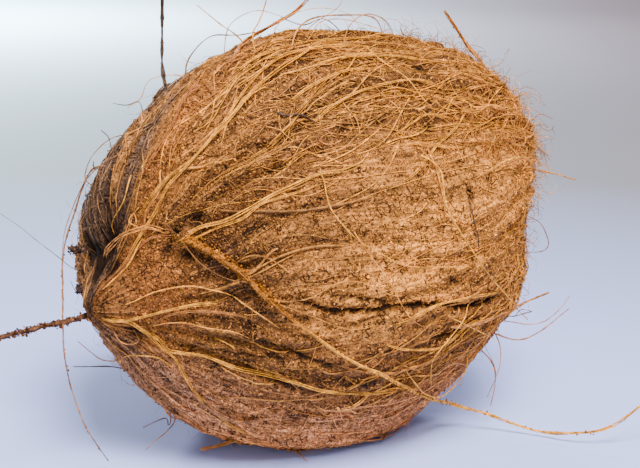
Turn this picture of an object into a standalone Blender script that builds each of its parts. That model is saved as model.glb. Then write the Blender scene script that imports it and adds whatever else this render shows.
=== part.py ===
"""A husked coconut lying on its side: one closed body of coir-covered shell with three
ridges that meet in a pointed beak, fibre bundles raised along it, and coarse stray fibres
grown into it. Metres, +Z up. The origin is the middle of the small flat spot it rests on,
the beak points toward -X and the blunt end, a little higher, toward +X."""

import math

import bpy
import numpy as np

# Driving dimensions, in metres
SHELL_HALF_LENGTH = 0.0634
SHELL_RADIUS = 0.0506
BEAK_LENGTH = 0.0070
BEAK_DROP = 0.0034
RIDGE_HEIGHT = 0.0018
BUNDLE_HEIGHT = 0.00095
LUMP_HEIGHT = 0.00055
HOLLOW_DEPTH = 0.0040
PAD_HEIGHT = 0.0014
KNOB_HEIGHT = 0.0024
MAT_HEIGHT = 0.0060
COARSE_RADIUS = 0.00048
ROOT_DEPTH = 0.0030
FLOOR_CLEARANCE = 0.0014

# Where the middle of the shell stands above the middle of the flat spot
CENTRE = np.array([0.0092, 0.0022, 0.0500])
AXIS_TILT = math.radians(5.2)

# Shape of the outline: fatter toward the beak, with a blunt far end
FATTER_AT_BEAK = 0.116
ROUNDNESS = 0.908
BEAK_SPREAD = 0.16
BEAK_DROP_SPREAD = 0.40

# Round angles of the three ridges, in degrees, at the beak and from a third of the way along
RIDGES = {
    "upper": (32.0, 6.0),
    "lower": (116.0, 151.0),
    "far": (-95.0, -82.0),
}
RIDGE_SPREAD = 0.15
RIDGE_SETTLES_AT = 1.1

# Faces between the ridges: how far each is sunk beside the beak, as a part of its radius
FACE_SINK = {("upper", "lower"): 0.0, ("lower", "far"): 0.07, ("far", "upper"): 0.20}
FACE_SINK_SPREAD = 0.62
FACE_FLATNESS = 0.022

# Small forms on the surface: along and around in radians, with the spread each way
HOLLOW = {"along": 0.23, "around": -0.42, "long": 0.13, "wide": 0.40}
KNOB = {"along": 0.47, "around": 0.93, "long": 0.055, "wide": 0.10}
PITS_SPREAD = 2.3
PITS_DEPTH = 0.0016
PAD = {"along": 0.27, "around": 1.25, "long": 0.15, "wide": 0.62}
MAT = {"along": 2.36, "around": 0.50, "long": 0.45, "wide": 0.90}
WAIST = {"along": 2.40, "around": 1.62, "long": 0.36, "wide": 0.44}
WAIST_DEPTH = 0.0026
SHOULDER = {"along": 1.00, "around": -0.35, "long": 0.38, "wide": 0.34}
SHOULDER_DEPTH = 0.0010

# Mesh of the body
ROWS = 31
BUNDLES = 40
COLUMNS = 3 * BUNDLES
FIRST_ROW = 0.060

# Stray fibres that stand out most. Each has its half thickness in millimetres and its
# route: degrees along from the beak, degrees around from the top, millimetres above the husk
STRAYS = {
    "long_golden": (0.55, [(27, 54, -3), (30, 61, 2), (38, 76, 2), (46, 91, 2), (62, 108, 2),
                           (74, 117, 2), (90, 132, 2), (103, 143, 5), (108, 141, 14),
                           (110, 137, 24), (111, 131, 32), (114, 127, 38), (119, 121, 42)]),
    "stiff_upright": (0.60, [(54, -16, -3), (59, -17, 4), (63, -15, 11), (66, -12, 19), (68, -9, 27)]),
    "twisted_tuft": (0.60, [(60, 8, -3), (66, 6, 2), (76, -3, 2), (81, 1, 4), (86, 2, 6), (90, 4, 11)]),
    "top_upright": (0.45, [(67, 13, -3), (72, 5, 3), (79, -1, 6), (81, 1, 12)]),
    "top_slant": (0.45, [(79, -9, -3), (76, -7, 3), (73, -8, 8), (71, -10, 14)]),
    "top_loop": (0.45, [(73, 18, -3), (80, 10, 2), (90, 3, 4), (99, 4, 5), (107, 5, 5), (112, 6, -2)]),
    "end_splinter": (0.60, [(138, 28, -3), (135, 22, 6), (131, 12, 9), (127, 9, 11), (123, 8, 13)]),
    "beak_twig": (0.70, [(6, -125, -3), (4, -122, 5), (3, -118, 10), (3, -116, 16), (3, -114, 23)]),
    "long_red": (0.45, [(36, -30, -3), (40, -50, 2), (36, -72, 2), (28, -86, 3), (12, -92, 5),
                        (4, 170, 10), (15, -169, 14), (19, 172, 18), (30, 178, 18)]),
    "low_stick": (0.50, [(54, 156, -3), (50, 166, 2), (46, 170, 5)]),
    "right_splinter": (0.60, [(88, 108, -3), (96, 109, 2), (114, 115, 2), (126, 119, 4), (131, 117, 8)]),
    "cross_fibre": (0.45, [(88, 52, -3), (92, 62, 2), (91, 74, 2), (100, 92, 2), (113, 108, 2),
                           (124, 122, 3), (127, 127, 6)]),
    "front_loop": (0.45, [(75, 109, -3), (82, 121, 2), (90, 131, 2), (97, 135, 3), (104, 131, 2),
                          (107, 124, -3)]),
    "low_curl": (0.45, [(114, 133, -3), (116, 137, 5), (115, 141, 9), (111, 143, 12)]),
    "end_curl": (0.45, [(118, 131, -3), (120, 129, 6), (124, 126, 10), (129, 118, 14)]),
    "end_tuft": (0.50, [(135, 62, -3), (140, 68, 3), (143, 73, 8), (143, 77, 12)]),
}

# Coarse fibres spread evenly over every side
COARSE_FIBRES = 27
GOLDEN_TURN = math.pi * (3.0 - math.sqrt(5.0))
FIBRE_SEED = 11
SURFACE_SEED = 5

HUSK_COLOUR = (0.40, 0.21, 0.085, 1.0)


def smooth_step(x):
    """Zero below 0, one above 1, and 3x squared less 2x cubed between."""
    x = np.clip(x, 0.0, 1.0)
    return x * x * (3.0 - 2.0 * x)


def turn_between(first, second):
    """The signed turn from one angle to another, within half a turn either way."""
    return (first - second + math.pi) % (2.0 * math.pi) - math.pi


def ridge_angle(name, along):
    """A ridge swings from its angle at the beak to its angle further along."""
    at_beak, further = np.radians(RIDGES[name])
    return at_beak + (further - at_beak) * smooth_step(along / RIDGE_SETTLES_AT)


def bump(place, along, around, spread=1.0):
    """A rounded bump of height one at a place on the husk."""
    far_along = (along - place["along"]) / (place["long"] * spread)
    far_around = turn_between(around, place["around"]) / (place["wide"] * spread)
    return np.exp(-far_along ** 2 - far_around ** 2)


def wave_sum(along, around, seed, turns, swings, count=9):
    """Seeded waves over the husk, whole numbers of turns around it, summed to about one."""
    draw = np.random.default_rng(seed)
    total = np.zeros(np.broadcast(along, around).shape)
    for _ in range(count):
        around_turns = draw.integers(turns[0], turns[1] + 1)
        along_swing = draw.uniform(swings[0], swings[1])
        start = draw.uniform(0.0, 2.0 * math.pi)
        total += np.cos(around_turns * around + along_swing * along + start)
    return total / math.sqrt(count)


def bundle_path(along, column):
    """A fibre bundle follows its column and wanders a few degrees either way."""
    wander = 0.055 * np.sin(2.3 * along + 3.0 * column) + 0.035 * np.sin(4.1 * along - 5.0 * column + 1.0)
    return column + wander * np.sin(along)


def face_shape(along, around):
    """How the round section is flattened between ridges and how deep each face is sunk."""
    flat = np.zeros(np.broadcast(along, around).shape)
    sunk = np.zeros_like(flat)
    for (first, second), depth in FACE_SINK.items():
        start = ridge_angle(first, along)
        width = np.mod(ridge_angle(second, along) - start, 2.0 * math.pi)
        passed = np.mod(around - start, 2.0 * math.pi)
        inside = passed < width
        part = np.where(inside, passed / width, 0.0)
        flat = np.where(inside, np.cos(2.0 * math.pi * part), flat)
        sunk = np.where(inside, depth * np.sin(math.pi * part) ** 2, sunk)
    return flat, sunk * np.exp(-(along / FACE_SINK_SPREAD) ** 2)


def relief(along, around, column):
    """Height of the fibre bundles and of the small forms above the smooth shell."""
    away_from_ends = np.sin(along)
    on_mat = bump(MAT, along, around)
    on_pad = bump(PAD, along, around)
    uneven = wave_sum(along, around, SURFACE_SEED, (2, 9), (-5.0, 5.0))
    strength = 0.80 + 0.55 * wave_sum(along, around, SURFACE_SEED + 1, (3, 17), (-6.0, 6.0))
    bundles = np.cos(BUNDLES * column) * np.clip(strength, 0.15, 1.7) * away_from_ends ** 0.6
    height = BUNDLE_HEIGHT * bundles * (1.0 - 0.8 * on_pad)
    height += LUMP_HEIGHT * uneven * away_from_ends ** 0.5
    height -= HOLLOW_DEPTH * bump(HOLLOW, along, around)
    height += KNOB_HEIGHT * bump(KNOB, along, around)
    height -= PITS_DEPTH * bump(KNOB, along, around, PITS_SPREAD)
    height += PAD_HEIGHT * on_pad
    height += MAT_HEIGHT * on_mat * (1.0 + 0.18 * uneven)
    height -= WAIST_DEPTH * bump(WAIST, along, around) + SHOULDER_DEPTH * bump(SHOULDER, along, around)
    return height


def shell_points(along, around, height):
    """Points on the shell, raised by a height: an egg drawn out into a beak at one end.

    The radius follows a power of the sine of the angle along, the length its cosine. Ridges
    stand on it, its faces are a little flat, the axis tilts up toward the blunt end and the
    beak hangs a little lower than the axis."""
    flat, sunk = face_shape(along, around)
    sine = np.maximum(np.sin(along), 0.0)
    crest = np.zeros_like(flat)
    for name in RIDGES:
        crest += np.exp(-(turn_between(around, ridge_angle(name, along)) / RIDGE_SPREAD) ** 2)
    radius = SHELL_RADIUS * sine ** ROUNDNESS * (1.0 + FATTER_AT_BEAK * np.cos(along))
    radius = radius * (1.0 + FACE_FLATNESS * flat - sunk) + RIDGE_HEIGHT * crest * sine ** 0.7
    radius = radius + height * np.sqrt(sine)
    length = -SHELL_HALF_LENGTH * np.cos(along) - BEAK_LENGTH * np.exp(-(along / BEAK_SPREAD) ** 2)
    length = length - height * np.cos(along)
    up = radius * np.cos(around)
    x = length * math.cos(AXIS_TILT) - up * math.sin(AXIS_TILT)
    z = length * math.sin(AXIS_TILT) + up * math.cos(AXIS_TILT)
    z = z - BEAK_DROP * np.exp(-(along / BEAK_DROP_SPREAD) ** 2)
    return np.stack([x, -radius * np.sin(around), z], axis=-1) + CENTRE


def husk_surface(along, column):
    """Points of the finished husk, cut level where it rests."""
    around = bundle_path(along, column)
    points = shell_points(along, around, relief(along, around, column))
    points[..., 2] = np.maximum(points[..., 2], 0.0)
    return points


def row_angles():
    """Angles along the body, closer together at the beak, where its forms are smallest."""
    even = np.linspace(0.0, 1.0, ROWS)
    eased = even + 0.10 * np.sin(2.0 * math.pi * even) * (even - 1.0)
    return FIRST_ROW + (math.pi - 2.0 * FIRST_ROW) * eased


def body_mesh():
    """The body as a grid of rows and columns, closed by a fan at each end."""
    rows = row_angles()
    columns = np.arange(COLUMNS) * (2.0 * math.pi / COLUMNS)
    along, column = np.meshgrid(rows, columns, indexing="ij")
    points = husk_surface(along, column).reshape(-1, 3)
    ends = husk_surface(np.array([0.0, math.pi]), np.zeros(2))
    index = np.arange(ROWS * COLUMNS).reshape(ROWS, COLUMNS)
    here = index[:-1].ravel()
    below = index[1:].ravel()
    beside = np.roll(index, -1, axis=1)[:-1].ravel()
    across = np.roll(index, -1, axis=1)[1:].ravel()
    faces = np.concatenate([np.stack([here, beside, below], 1), np.stack([beside, across, below], 1)])
    beak = ROWS * COLUMNS
    first = index[0]
    last = index[-1]
    beak_fan = np.stack([np.full(COLUMNS, beak), np.roll(first, -1), first], 1)
    blunt_fan = np.stack([np.full(COLUMNS, beak + 1), last, np.roll(last, -1)], 1)
    faces = np.concatenate([faces, beak_fan, blunt_fan])
    return np.concatenate([points, ends]), faces


def husk_point(along, around, lift):
    """One point a given height above the husk, by its angles along and around."""
    point = shell_points(np.array([along]), np.array([around]), np.array([lift]))[0]
    return point


def smooth_route(points, step):
    """Points evenly spaced along a smooth curve through the given ones."""
    points = np.asarray(points)
    padded = np.vstack([2.0 * points[0] - points[1], points, 2.0 * points[-1] - points[-2]])
    dense = []
    for before, start, end, after in zip(padded, padded[1:], padded[2:], padded[3:]):
        t = np.linspace(0.0, 1.0, 12, endpoint=False)[:, None]
        dense.append(0.5 * (2.0 * start + (end - before) * t
                            + (2.0 * before - 5.0 * start + 4.0 * end - after) * t ** 2
                            + (3.0 * start - before - 3.0 * end + after) * t ** 3))
    dense = np.vstack(dense + [points[-1:]])
    travelled = np.concatenate([[0.0], np.cumsum(np.linalg.norm(np.diff(dense, axis=0), axis=1))])
    count = max(3, int(round(travelled[-1] / step)) + 1)
    wanted = np.linspace(0.0, travelled[-1], count)
    return np.stack([np.interp(wanted, travelled, dense[:, k]) for k in range(3)], axis=1)


def fibre_mesh(route, radius, sides):
    """A tapering rod along a route, closed at both ends."""
    tangents = np.gradient(route, axis=0)
    tangents /= np.linalg.norm(tangents, axis=1, keepdims=True)
    side = np.cross(tangents[0], [0.31, 0.45, 0.84])
    rings = []
    count = len(route)
    for place, (centre, tangent) in enumerate(zip(route, tangents)):
        side = side - tangent * side.dot(tangent)
        side /= np.linalg.norm(side)
        other = np.cross(tangent, side)
        turn = np.arange(sides) * (2.0 * math.pi / sides)
        thick = radius * (1.0 - 0.22 * place / (count - 1))
        rings.append(centre + thick * (np.cos(turn)[:, None] * side + np.sin(turn)[:, None] * other))
    points = np.vstack(rings)
    faces = [tuple(range(sides))[::-1], tuple(range((count - 1) * sides, count * sides))]
    for ring in range(count - 1):
        for corner in range(sides):
            following = (corner + 1) % sides
            low = ring * sides
            high = low + sides
            faces.append((low + corner, low + following, high + following, high + corner))
    return points, faces


def above_floor(route):
    """Keeps a free fibre clear of the surface that the coconut lies on."""
    route = route.copy()
    route[:, 2] = np.maximum(route[:, 2], FLOOR_CLEARANCE)
    return route


def stray_fibres():
    """The fibres that stand out most, each along its own hand-set route."""
    for name, (half_thickness, stops) in STRAYS.items():
        corners = [husk_point(math.radians(along), math.radians(around), lift * 0.001)
                   for along, around, lift in stops]
        route = above_floor(smooth_route(corners, 0.0058))
        yield name, fibre_mesh(route, half_thickness * 0.001, 4)


def coarse_fibres():
    """Coarse fibres at even steps of a spiral over the husk, so that no side is bare.

    Each one is rooted in the husk, arches over it and either dives back in or ends free."""
    draw = np.random.default_rng(FIBRE_SEED)
    for number in range(COARSE_FIBRES):
        along = math.acos(1.0 - 2.0 * (number + 0.8) / (COARSE_FIBRES + 0.6))
        around = number * GOLDEN_TURN + 0.5
        heading = draw.uniform(-0.7, 0.7) + math.pi * draw.integers(0, 2)
        reach = draw.uniform(0.30, 0.52)
        rise = draw.uniform(0.003, 0.007)
        dives_back = draw.random() < 0.45
        ends_at = -ROOT_DEPTH if dives_back else draw.uniform(0.004, 0.009)
        lifts = (-ROOT_DEPTH, 0.4 * rise, 0.8 * rise, rise, 0.7 * rise, ends_at)
        corners = []
        for part, lift in zip((0.0, 0.16, 0.36, 0.58, 0.80, 1.0), lifts):
            bend = heading + 0.8 * (part - 0.5)
            at_along = np.clip(along + reach * part * math.cos(bend), 0.12, math.pi - 0.12)
            at_around = around + reach * part * math.sin(bend) / max(math.sin(at_along), 0.35)
            corners.append(husk_point(at_along, at_around, lift))
        route = above_floor(smooth_route(corners, 0.0052))
        yield "coarse_%02d" % number, fibre_mesh(route, COARSE_RADIUS, 3)


def new_object(name, mesh_parts, collection):
    """A mesh object made of points and faces, put in a collection."""
    points, faces = mesh_parts
    mesh = bpy.data.meshes.new(name)
    mesh.from_pydata([tuple(point) for point in points.tolist()], [], [tuple(face) for face in faces])
    mesh.validate()
    made = bpy.data.objects.new(name, mesh)
    collection.objects.link(made)
    return made


def husk_material():
    """Dry coir: dull tan brown with no sheen."""
    material = bpy.data.materials.new("coir_husk")
    material.use_nodes = True
    shader = material.node_tree.nodes["Principled BSDF"]
    shader.inputs["Base Color"].default_value = HUSK_COLOUR
    shader.inputs["Roughness"].default_value = 0.85
    shader.inputs["Metallic"].default_value = 0.0
    return material


def join_fibres(body, fibres):
    """Unites the body with every fibre, then removes the loose fibres."""
    union = body.modifiers.new("fibres", "BOOLEAN")
    union.operation = "UNION"
    union.operand_type = "COLLECTION"
    union.collection = fibres
    union.solver = "EXACT"
    depsgraph = bpy.context.evaluated_depsgraph_get()
    joined = bpy.data.meshes.new_from_object(body.evaluated_get(depsgraph))
    body.modifiers.clear()
    body.data = joined
    for fibre in list(fibres.objects):
        bpy.data.objects.remove(fibre, do_unlink=True)
    bpy.data.collections.remove(fibres)


def main():
    """Clears the scene and builds the coconut."""
    for old in list(bpy.data.objects):
        bpy.data.objects.remove(old, do_unlink=True)
    body = new_object("coconut", body_mesh(), bpy.context.scene.collection)
    fibres = bpy.data.collections.new("fibres")
    bpy.context.scene.collection.children.link(fibres)
    for name, parts in list(stray_fibres()) + list(coarse_fibres()):
        new_object(name, parts, fibres)
    join_fibres(body, fibres)
    body.name = "coconut"
    body.data.name = "coconut"
    body.data.materials.clear()
    body.data.materials.append(husk_material())
    body.data.shade_smooth()
    body.data.set_sharp_from_angle(angle=math.radians(50.0))


main()
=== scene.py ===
"""Looks of a husked coconut lying on its side: the coir surface, the strands and crumbs of
pith that cover it, its frizz, its frayed blunt end and its long stray fibres.

A place on the husk is given by two angles in radians. `along` runs from 0 at the beak to pi
at the blunt end. `around` runs from 0 at the top toward the broad face at -Y. A `column` is
an angle around before the fibre bundles wander from it."""

import math
from collections import namedtuple

import bpy
import numpy as np
from bpy.props import FloatProperty, FloatVectorProperty, IntProperty, PointerProperty
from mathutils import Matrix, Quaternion, Vector


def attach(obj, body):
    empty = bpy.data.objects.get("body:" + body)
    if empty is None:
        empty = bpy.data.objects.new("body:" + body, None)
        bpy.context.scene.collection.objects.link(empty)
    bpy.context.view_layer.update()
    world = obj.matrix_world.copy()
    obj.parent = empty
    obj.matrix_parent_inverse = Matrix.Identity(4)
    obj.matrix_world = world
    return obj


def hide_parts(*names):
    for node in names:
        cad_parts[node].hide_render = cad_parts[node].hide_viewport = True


bl_info = {
    "name": "Husked coconut",
    "version": (1, 0, 0),
    "blender": (4, 5, 0),
    "location": "View3D > Sidebar > Coconut",
    "description": "Builds the coir surface, strands, pith and stray fibres of a husked coconut",
    "category": "Object",
}

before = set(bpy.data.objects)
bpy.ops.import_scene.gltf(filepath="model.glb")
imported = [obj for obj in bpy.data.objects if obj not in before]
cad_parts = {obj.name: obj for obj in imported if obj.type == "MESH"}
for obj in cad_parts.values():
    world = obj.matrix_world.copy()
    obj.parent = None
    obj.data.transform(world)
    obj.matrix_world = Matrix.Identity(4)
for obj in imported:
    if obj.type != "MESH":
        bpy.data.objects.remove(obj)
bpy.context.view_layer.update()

BODY = "root"
NODE = "coconut"
MM = 0.001
FULL_TURN = 2.0 * math.pi

# Shell, as the solid has it, in metres
SHELL_HALF_LENGTH = 0.0634
SHELL_RADIUS = 0.0506
BEAK_LENGTH = 0.0070
BEAK_DROP = 0.0034
RIDGE_HEIGHT = 0.0018
BUNDLE_HEIGHT = 0.00095
LUMP_HEIGHT = 0.00055
HOLLOW_DEPTH = 0.0040
PAD_HEIGHT = 0.0014
KNOB_HEIGHT = 0.0024
MAT_HEIGHT = 0.0060
PITS_SPREAD = 2.3
PITS_DEPTH = 0.0016
CENTRE = np.array([0.0092, 0.0022, 0.0500])
AXIS_TILT = math.radians(5.2)
FATTER_AT_BEAK = 0.116
ROUNDNESS = 0.908
BEAK_SPREAD = 0.16
BEAK_DROP_SPREAD = 0.40
RIDGES = {"upper": (32.0, 6.0), "lower": (116.0, 151.0), "far": (-95.0, -82.0)}
RIDGE_SPREAD = 0.15
RIDGE_SETTLES_AT = 1.1
FACE_SINK = {("upper", "lower"): 0.0, ("lower", "far"): 0.07, ("far", "upper"): 0.20}
FACE_SINK_SPREAD = 0.62
FACE_FLATNESS = 0.022
HOLLOW = {"along": 0.23, "around": -0.42, "long": 0.13, "wide": 0.40}
KNOB = {"along": 0.47, "around": 0.93, "long": 0.055, "wide": 0.10}
PAD = {"along": 0.27, "around": 1.25, "long": 0.15, "wide": 0.62}
MAT = {"along": 2.36, "around": 0.50, "long": 0.45, "wide": 0.90}
WAIST = {"along": 2.40, "around": 1.62, "long": 0.36, "wide": 0.44}
WAIST_DEPTH = 0.0026
SHOULDER = {"along": 1.00, "around": -0.35, "long": 0.38, "wide": 0.34}
SHOULDER_DEPTH = 0.0010
BUNDLES = 40
SURFACE_SEED = 5
FIBRE_SEED = 11
COARSE_FIBRES = 27
GOLDEN_TURN = math.pi * (3.0 - math.sqrt(5.0))
ROOT_DEPTH = 0.0030
FLOOR_CLEARANCE = 0.0014

# Fine surface: rows and columns of its grid, the angle of the first row, and how much longer
# than wide its streaks are
HUSK_ROWS = 221
HUSK_COLUMNS = 444
FIRST_ROW = 0.020
STREAK_STRETCH = 11.0

# Sides of a rod, and steps along its route: points for each stop, and lengths in metres
STRAND_SIDES = 3
FIBRE_SIDES = 5
CURVE_STEPS = 12
ROUTE_STEP = 0.0010
STRAY_STEP = 0.0009
CRUMB_STEP = 0.0004

# Colours of a fibre and of a crumb go no lighter than this
LIGHTEST_FIBRE = 0.95
LIGHTEST_CRUMB = 0.9

# Long dark splits between bundles: degrees along from and to, degrees around, drift, depth in mm
SPLITS = (
    (30, 66, 64, -3, 0.35),
    (58, 82, 79, 6, 0.4),
    (78, 110, 90, 10, 0.5),
    (36, 60, 30, -8, 0.7),
    (60, 92, 24, -6, 0.8),
    (45, 88, 40, -12, 0.6),
    (94, 101, 76, 16, 0.8),
    (30, 58, 107, 8, 0.9),
    (40, 90, 118, 6, 0.8),
    (66, 120, 112, -4, 0.6),
    (30, 75, -20, -6, 1.0),
    (35, 90, -45, 5, 1.0),
    (30, 80, -66, -5, 0.9),
    (34, 70, -8, 4, 0.9),
    (60, 120, 175, 6, 0.5),
    (50, 110, 215, -5, 0.6),
    (70, 130, 250, 5, 0.6),
)

# Open crevices: their route in degrees along and around, and their depth in mm
CREVICES = (
    (((46, 89), (51, 90), (56, 93.5), (63, 95.5), (69, 96), (76, 97.2), (82, 98.2), (88, 100),
      (95, 103.5), (103, 106), (112, 108), (120, 111)), 1.7),
    (((57, 89), (61, 90.5), (65, 91.5), (70, 93.5), (74, 95)), 1.0),
    (((84, 109), (92, 111), (101, 112), (110, 115)), 0.9),
    (((38, 101), (46, 106), (54, 110), (62, 112)), 1.0),
    (((33, 112), (44, 118), (56, 122), (70, 123)), 0.9),
)
CREVICE_WIDTH = 0.014

# Stray fibres that the solid has too: half thickness in mm, colour, route in degrees along,
# degrees around and mm above the husk
STRAYS = {
    "long_golden": (0.42, "gold", [
        (27, 54, -3), (30, 61, 2), (38, 76, 2), (46, 91, 2), (62, 108, 2), (74, 117, 2), (90, 132, 2),
        (103, 143, 5), (108, 141, 14), (110, 137, 24), (111, 131, 32), (114, 127, 38), (119, 121, 42)]),
    "stiff_upright": (0.46, "dark", [
        (54, -16, -3), (59, -17, 4), (63, -15, 11), (66, -12, 19), (68, -9, 27)]),
    "twisted_tuft": (0.48, "pith", [
        (60, 8, -3), (66, 6, 2), (76, -3, 2), (81, 1, 4), (86, 2, 6), (90, 4, 11)]),
    "top_upright": (0.26, "gold", [
        (67, 13, -3), (72, 5, 3), (79, -1, 6), (81, 1, 12)]),
    "top_slant": (0.22, "gold", [
        (79, -9, -3), (76, -7, 3), (73, -8, 8), (71, -10, 14)]),
    "top_loop": (0.26, "tan", [
        (73, 18, -3), (80, 10, 2), (90, 3, 4), (99, 4, 5), (107, 5, 5), (112, 6, -2)]),
    "end_splinter": (0.48, "tan", [
        (138, 28, -3), (135, 22, 6), (131, 12, 9), (127, 9, 11), (123, 8, 13)]),
    "beak_twig": (0.58, "bark", [
        (6, -125, -3), (4, -122, 5), (3, -118, 10), (3, -116, 16), (3, -114, 23)]),
    "long_red": (0.26, "rust", [
        (36, -30, -3), (40, -50, 2), (36, -72, 2), (28, -86, 3), (12, -92, 5), (4, 170, 10),
        (15, -169, 14), (19, 172, 18), (30, 178, 18)]),
    "low_stick": (0.42, "tan", [
        (54, 156, -3), (50, 166, 2), (46, 170, 5)]),
    "right_splinter": (0.42, "tan", [
        (88, 108, -3), (96, 109, 2), (114, 115, 2), (126, 119, 4), (131, 117, 8)]),
    "cross_fibre": (0.22, "gold", [
        (88, 52, -3), (92, 62, 2), (91, 74, 2), (100, 92, 2), (113, 108, 2), (124, 122, 3),
        (127, 127, 6)]),
    "front_loop": (0.22, "gold", [
        (75, 109, -3), (82, 121, 2), (90, 131, 2), (97, 135, 3), (104, 131, 2), (107, 124, -3)]),
    "low_curl": (0.22, "pith", [
        (114, 133, -3), (116, 137, 5), (115, 141, 9), (111, 143, 12)]),
    "end_curl": (0.22, "tan", [
        (118, 131, -3), (120, 129, 6), (124, 126, 10), (129, 118, 14)]),
    "end_tuft": (0.3, "tan", [
        (135, 62, -3), (140, 68, 3), (143, 73, 8), (143, 77, 12)]),
}

# Strands that lie on the husk, most of them golden, in the same form as the stray fibres
LAID_STRANDS = {
    "golden_root": (0.66, "root", [
        (24, 52, -0.6), (28, 59, 0.9), (32, 67, 1.2), (37, 76, 1.2), (42, 84, 1.0), (46, 90, 0.4)]),
    "fan_up_a": (0.27, "gold", [
        (26, 56, 0.5), (31, 56, 1), (38, 60, 1.2), (44, 60, 1), (52, 58, 1), (62, 56, 1), (69, 56, 0.8),
        (76, 54, -0.3)]),
    "fan_up_b": (0.19, "gold", [
        (26, 58, 0.3), (34, 60, 0.8), (42, 62, 0.8), (48, 60, 0.8), (56, 60, 0.6), (64, 58, -0.3)]),
    "fan_mid": (0.24, "gold", [
        (44, 26, -0.5), (47, 26, 1), (54, 26, 1.2), (60, 24, 1.4), (70, 22, 1.4), (78, 21, 1.2),
        (86, 18, 0.8), (94, 15, -0.5)]),
    "crest_a": (0.21, "gold", [
        (64, 21, -0.5), (58, 24, 1), (49, 26, 1), (42, 28, 1.2), (36, 29, 1.2), (30, 29, 1.2),
        (24, 31, 1.2), (19, 34, 1.2), (14, 36, 1), (8, 39, -0.5)]),
    "crest_b": (0.22, "pith", [
        (56, 7, -0.5), (48, 9, 1), (42, 11, 1), (36, 12, 1), (30, 12, 1), (25, 4, -0.5)]),
    "crest_d": (0.19, "gold", [
        (76, 18, -0.5), (66, 20, 1), (57, 22, 1), (48, 26, 1.2), (40, 28, 1.2), (31, 26, 1.4),
        (24, 24, 1.2), (17, 16, -0.5)]),
    "low_gold_a": (0.27, "gold", [
        (79, 125, -0.5), (68, 120, 0.8), (59, 116, 0.8), (52, 114, 0.8), (44, 114, 0.8), (36, 114, 0.8),
        (28, 114, 0.8), (22, 116, 0.8), (18, 119, 0.8), (15, 114, 0.8), (12, 109, 0.8), (9, 103, 0.7),
        (5, 108, 0)]),
    "low_gold_b": (0.22, "gold", [
        (9, 106, 0), (12, 113, 0.5), (16, 119, 0.6), (20, 123, 0.6), (23, 129, 0.6), (28, 137, 0.6),
        (32, 142, 0.6), (38, 148, 0.6), (46, 152, 0.4), (56, 156, -0.5)]),
    "pad_low": (0.21, "gold", [
        (34, 88, -0.5), (26, 87, 0.8), (18, 89, 0.8), (10, 98, 0.8), (6, 106, 0.6), (3, 112, 0)]),
    "pad_low_b": (0.15, "tan", [
        (42, 95, -0.5), (36, 92, 0.4), (27, 90, 0.6), (19, 92, 0.6), (13, 104, 0.6), (9, 108, 0.6),
        (4, 120, 0)]),
    "pad_rim": (0.24, "pith", [
        (3, 20, -0.5), (6, 32, 0.6), (10, 37, 0.8), (15, 38, 0.8), (20, 42, 0.8), (25, 50, -0.5)]),
    "gold_right_a": (0.19, "gold", [
        (112, 44, -0.5), (106, 50, 0.8), (96, 54, 1), (92, 56, 0.8), (86, 59, 0.6), (80, 62, -0.5)]),
    "gold_right_b": (0.16, "gold", [
        (84, 50, -0.5), (92, 48, 0.8), (97, 47, 1), (102, 48, 1), (112, 48, -0.5)]),
    "gold_right_c": (0.19, "gold", [
        (86, 52, -0.5), (91, 53, 0.8), (98, 55, 0.8), (108, 56, -0.5)]),
    "gold_low_right": (0.22, "gold", [
        (74, 100, -0.5), (80, 99, 0.8), (88, 99, 0.8), (102, 104, 1), (122, 117, -0.5)]),
    "gold_low_r2": (0.18, "gold", [
        (71, 104, -0.5), (78, 108, 1), (89, 114, 0.8), (100, 114, 0.8), (123, 128, -0.5)]),
    "gold_low_r3": (0.19, "tan", [
        (58, 106, -0.5), (68, 111, 1), (78, 115, 0.8), (90, 118, 0.8), (104, 123, -0.5)]),
    "top_a": (0.22, "gold", [
        (53, 16, -0.5), (62, 20, 1), (75, 20, 1), (90, 20, 0.8), (104, 20, -0.5)]),
    "top_b": (0.24, "gold", [
        (70, 28, -0.5), (81, 28, 1), (92, 28, 1.2), (104, 29, 1), (114, 30, -0.5)]),
    "top_c": (0.19, "gold", [
        (64, 32, -0.5), (73, 32, 1), (86, 32, 1), (99, 34, -0.5)]),
    "top_d": (0.19, "gold", [
        (67, 40, -0.5), (76, 39, 1), (88, 38, 1), (100, 38, 0.8), (109, 39, -0.5)]),
    "top_e": (0.21, "gold", [
        (58, 12, -0.5), (70, 13, 1), (84, 13, 1.2), (98, 12, 0.8), (110, 10, -0.5)]),
    "flag": (0.34, "pale", [
        (13, -34, 2.6), (12, -6, 2.5), (15, 20, 2.2), (18, 30, 2), (21, 37, 1.2), (23, 45, -0.8)]),
}

# Crumbs that cling to a fibre: its name, their colour, how many, their reach in mm, how far they
# crowd toward the root, and their sizes in mm
CLINGING = (
    ("golden_root", "root", 2200, 0.80, 1.5, (0.12, 0.50)),
    ("long_golden", "root", 1700, 0.45, 4.2, (0.10, 0.30)),
    ("beak_twig", "bark", 620, 0.60, 1.0, (0.14, 0.48)),
    ("stiff_upright", "dark", 170, 0.26, 1.0, (0.08, 0.22)),
    ("end_splinter", "tan", 320, 0.34, 1.2, (0.10, 0.28)),
    ("long_red", "dark", 60, 0.20, 1.0, (0.10, 0.30)),
    ("left_burr", "dark", 90, 0.75, 0.25, (0.25, 0.60)),
    ("beak_lump", "dark", 110, 0.80, 1.0, (0.25, 0.60)),
)

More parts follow.
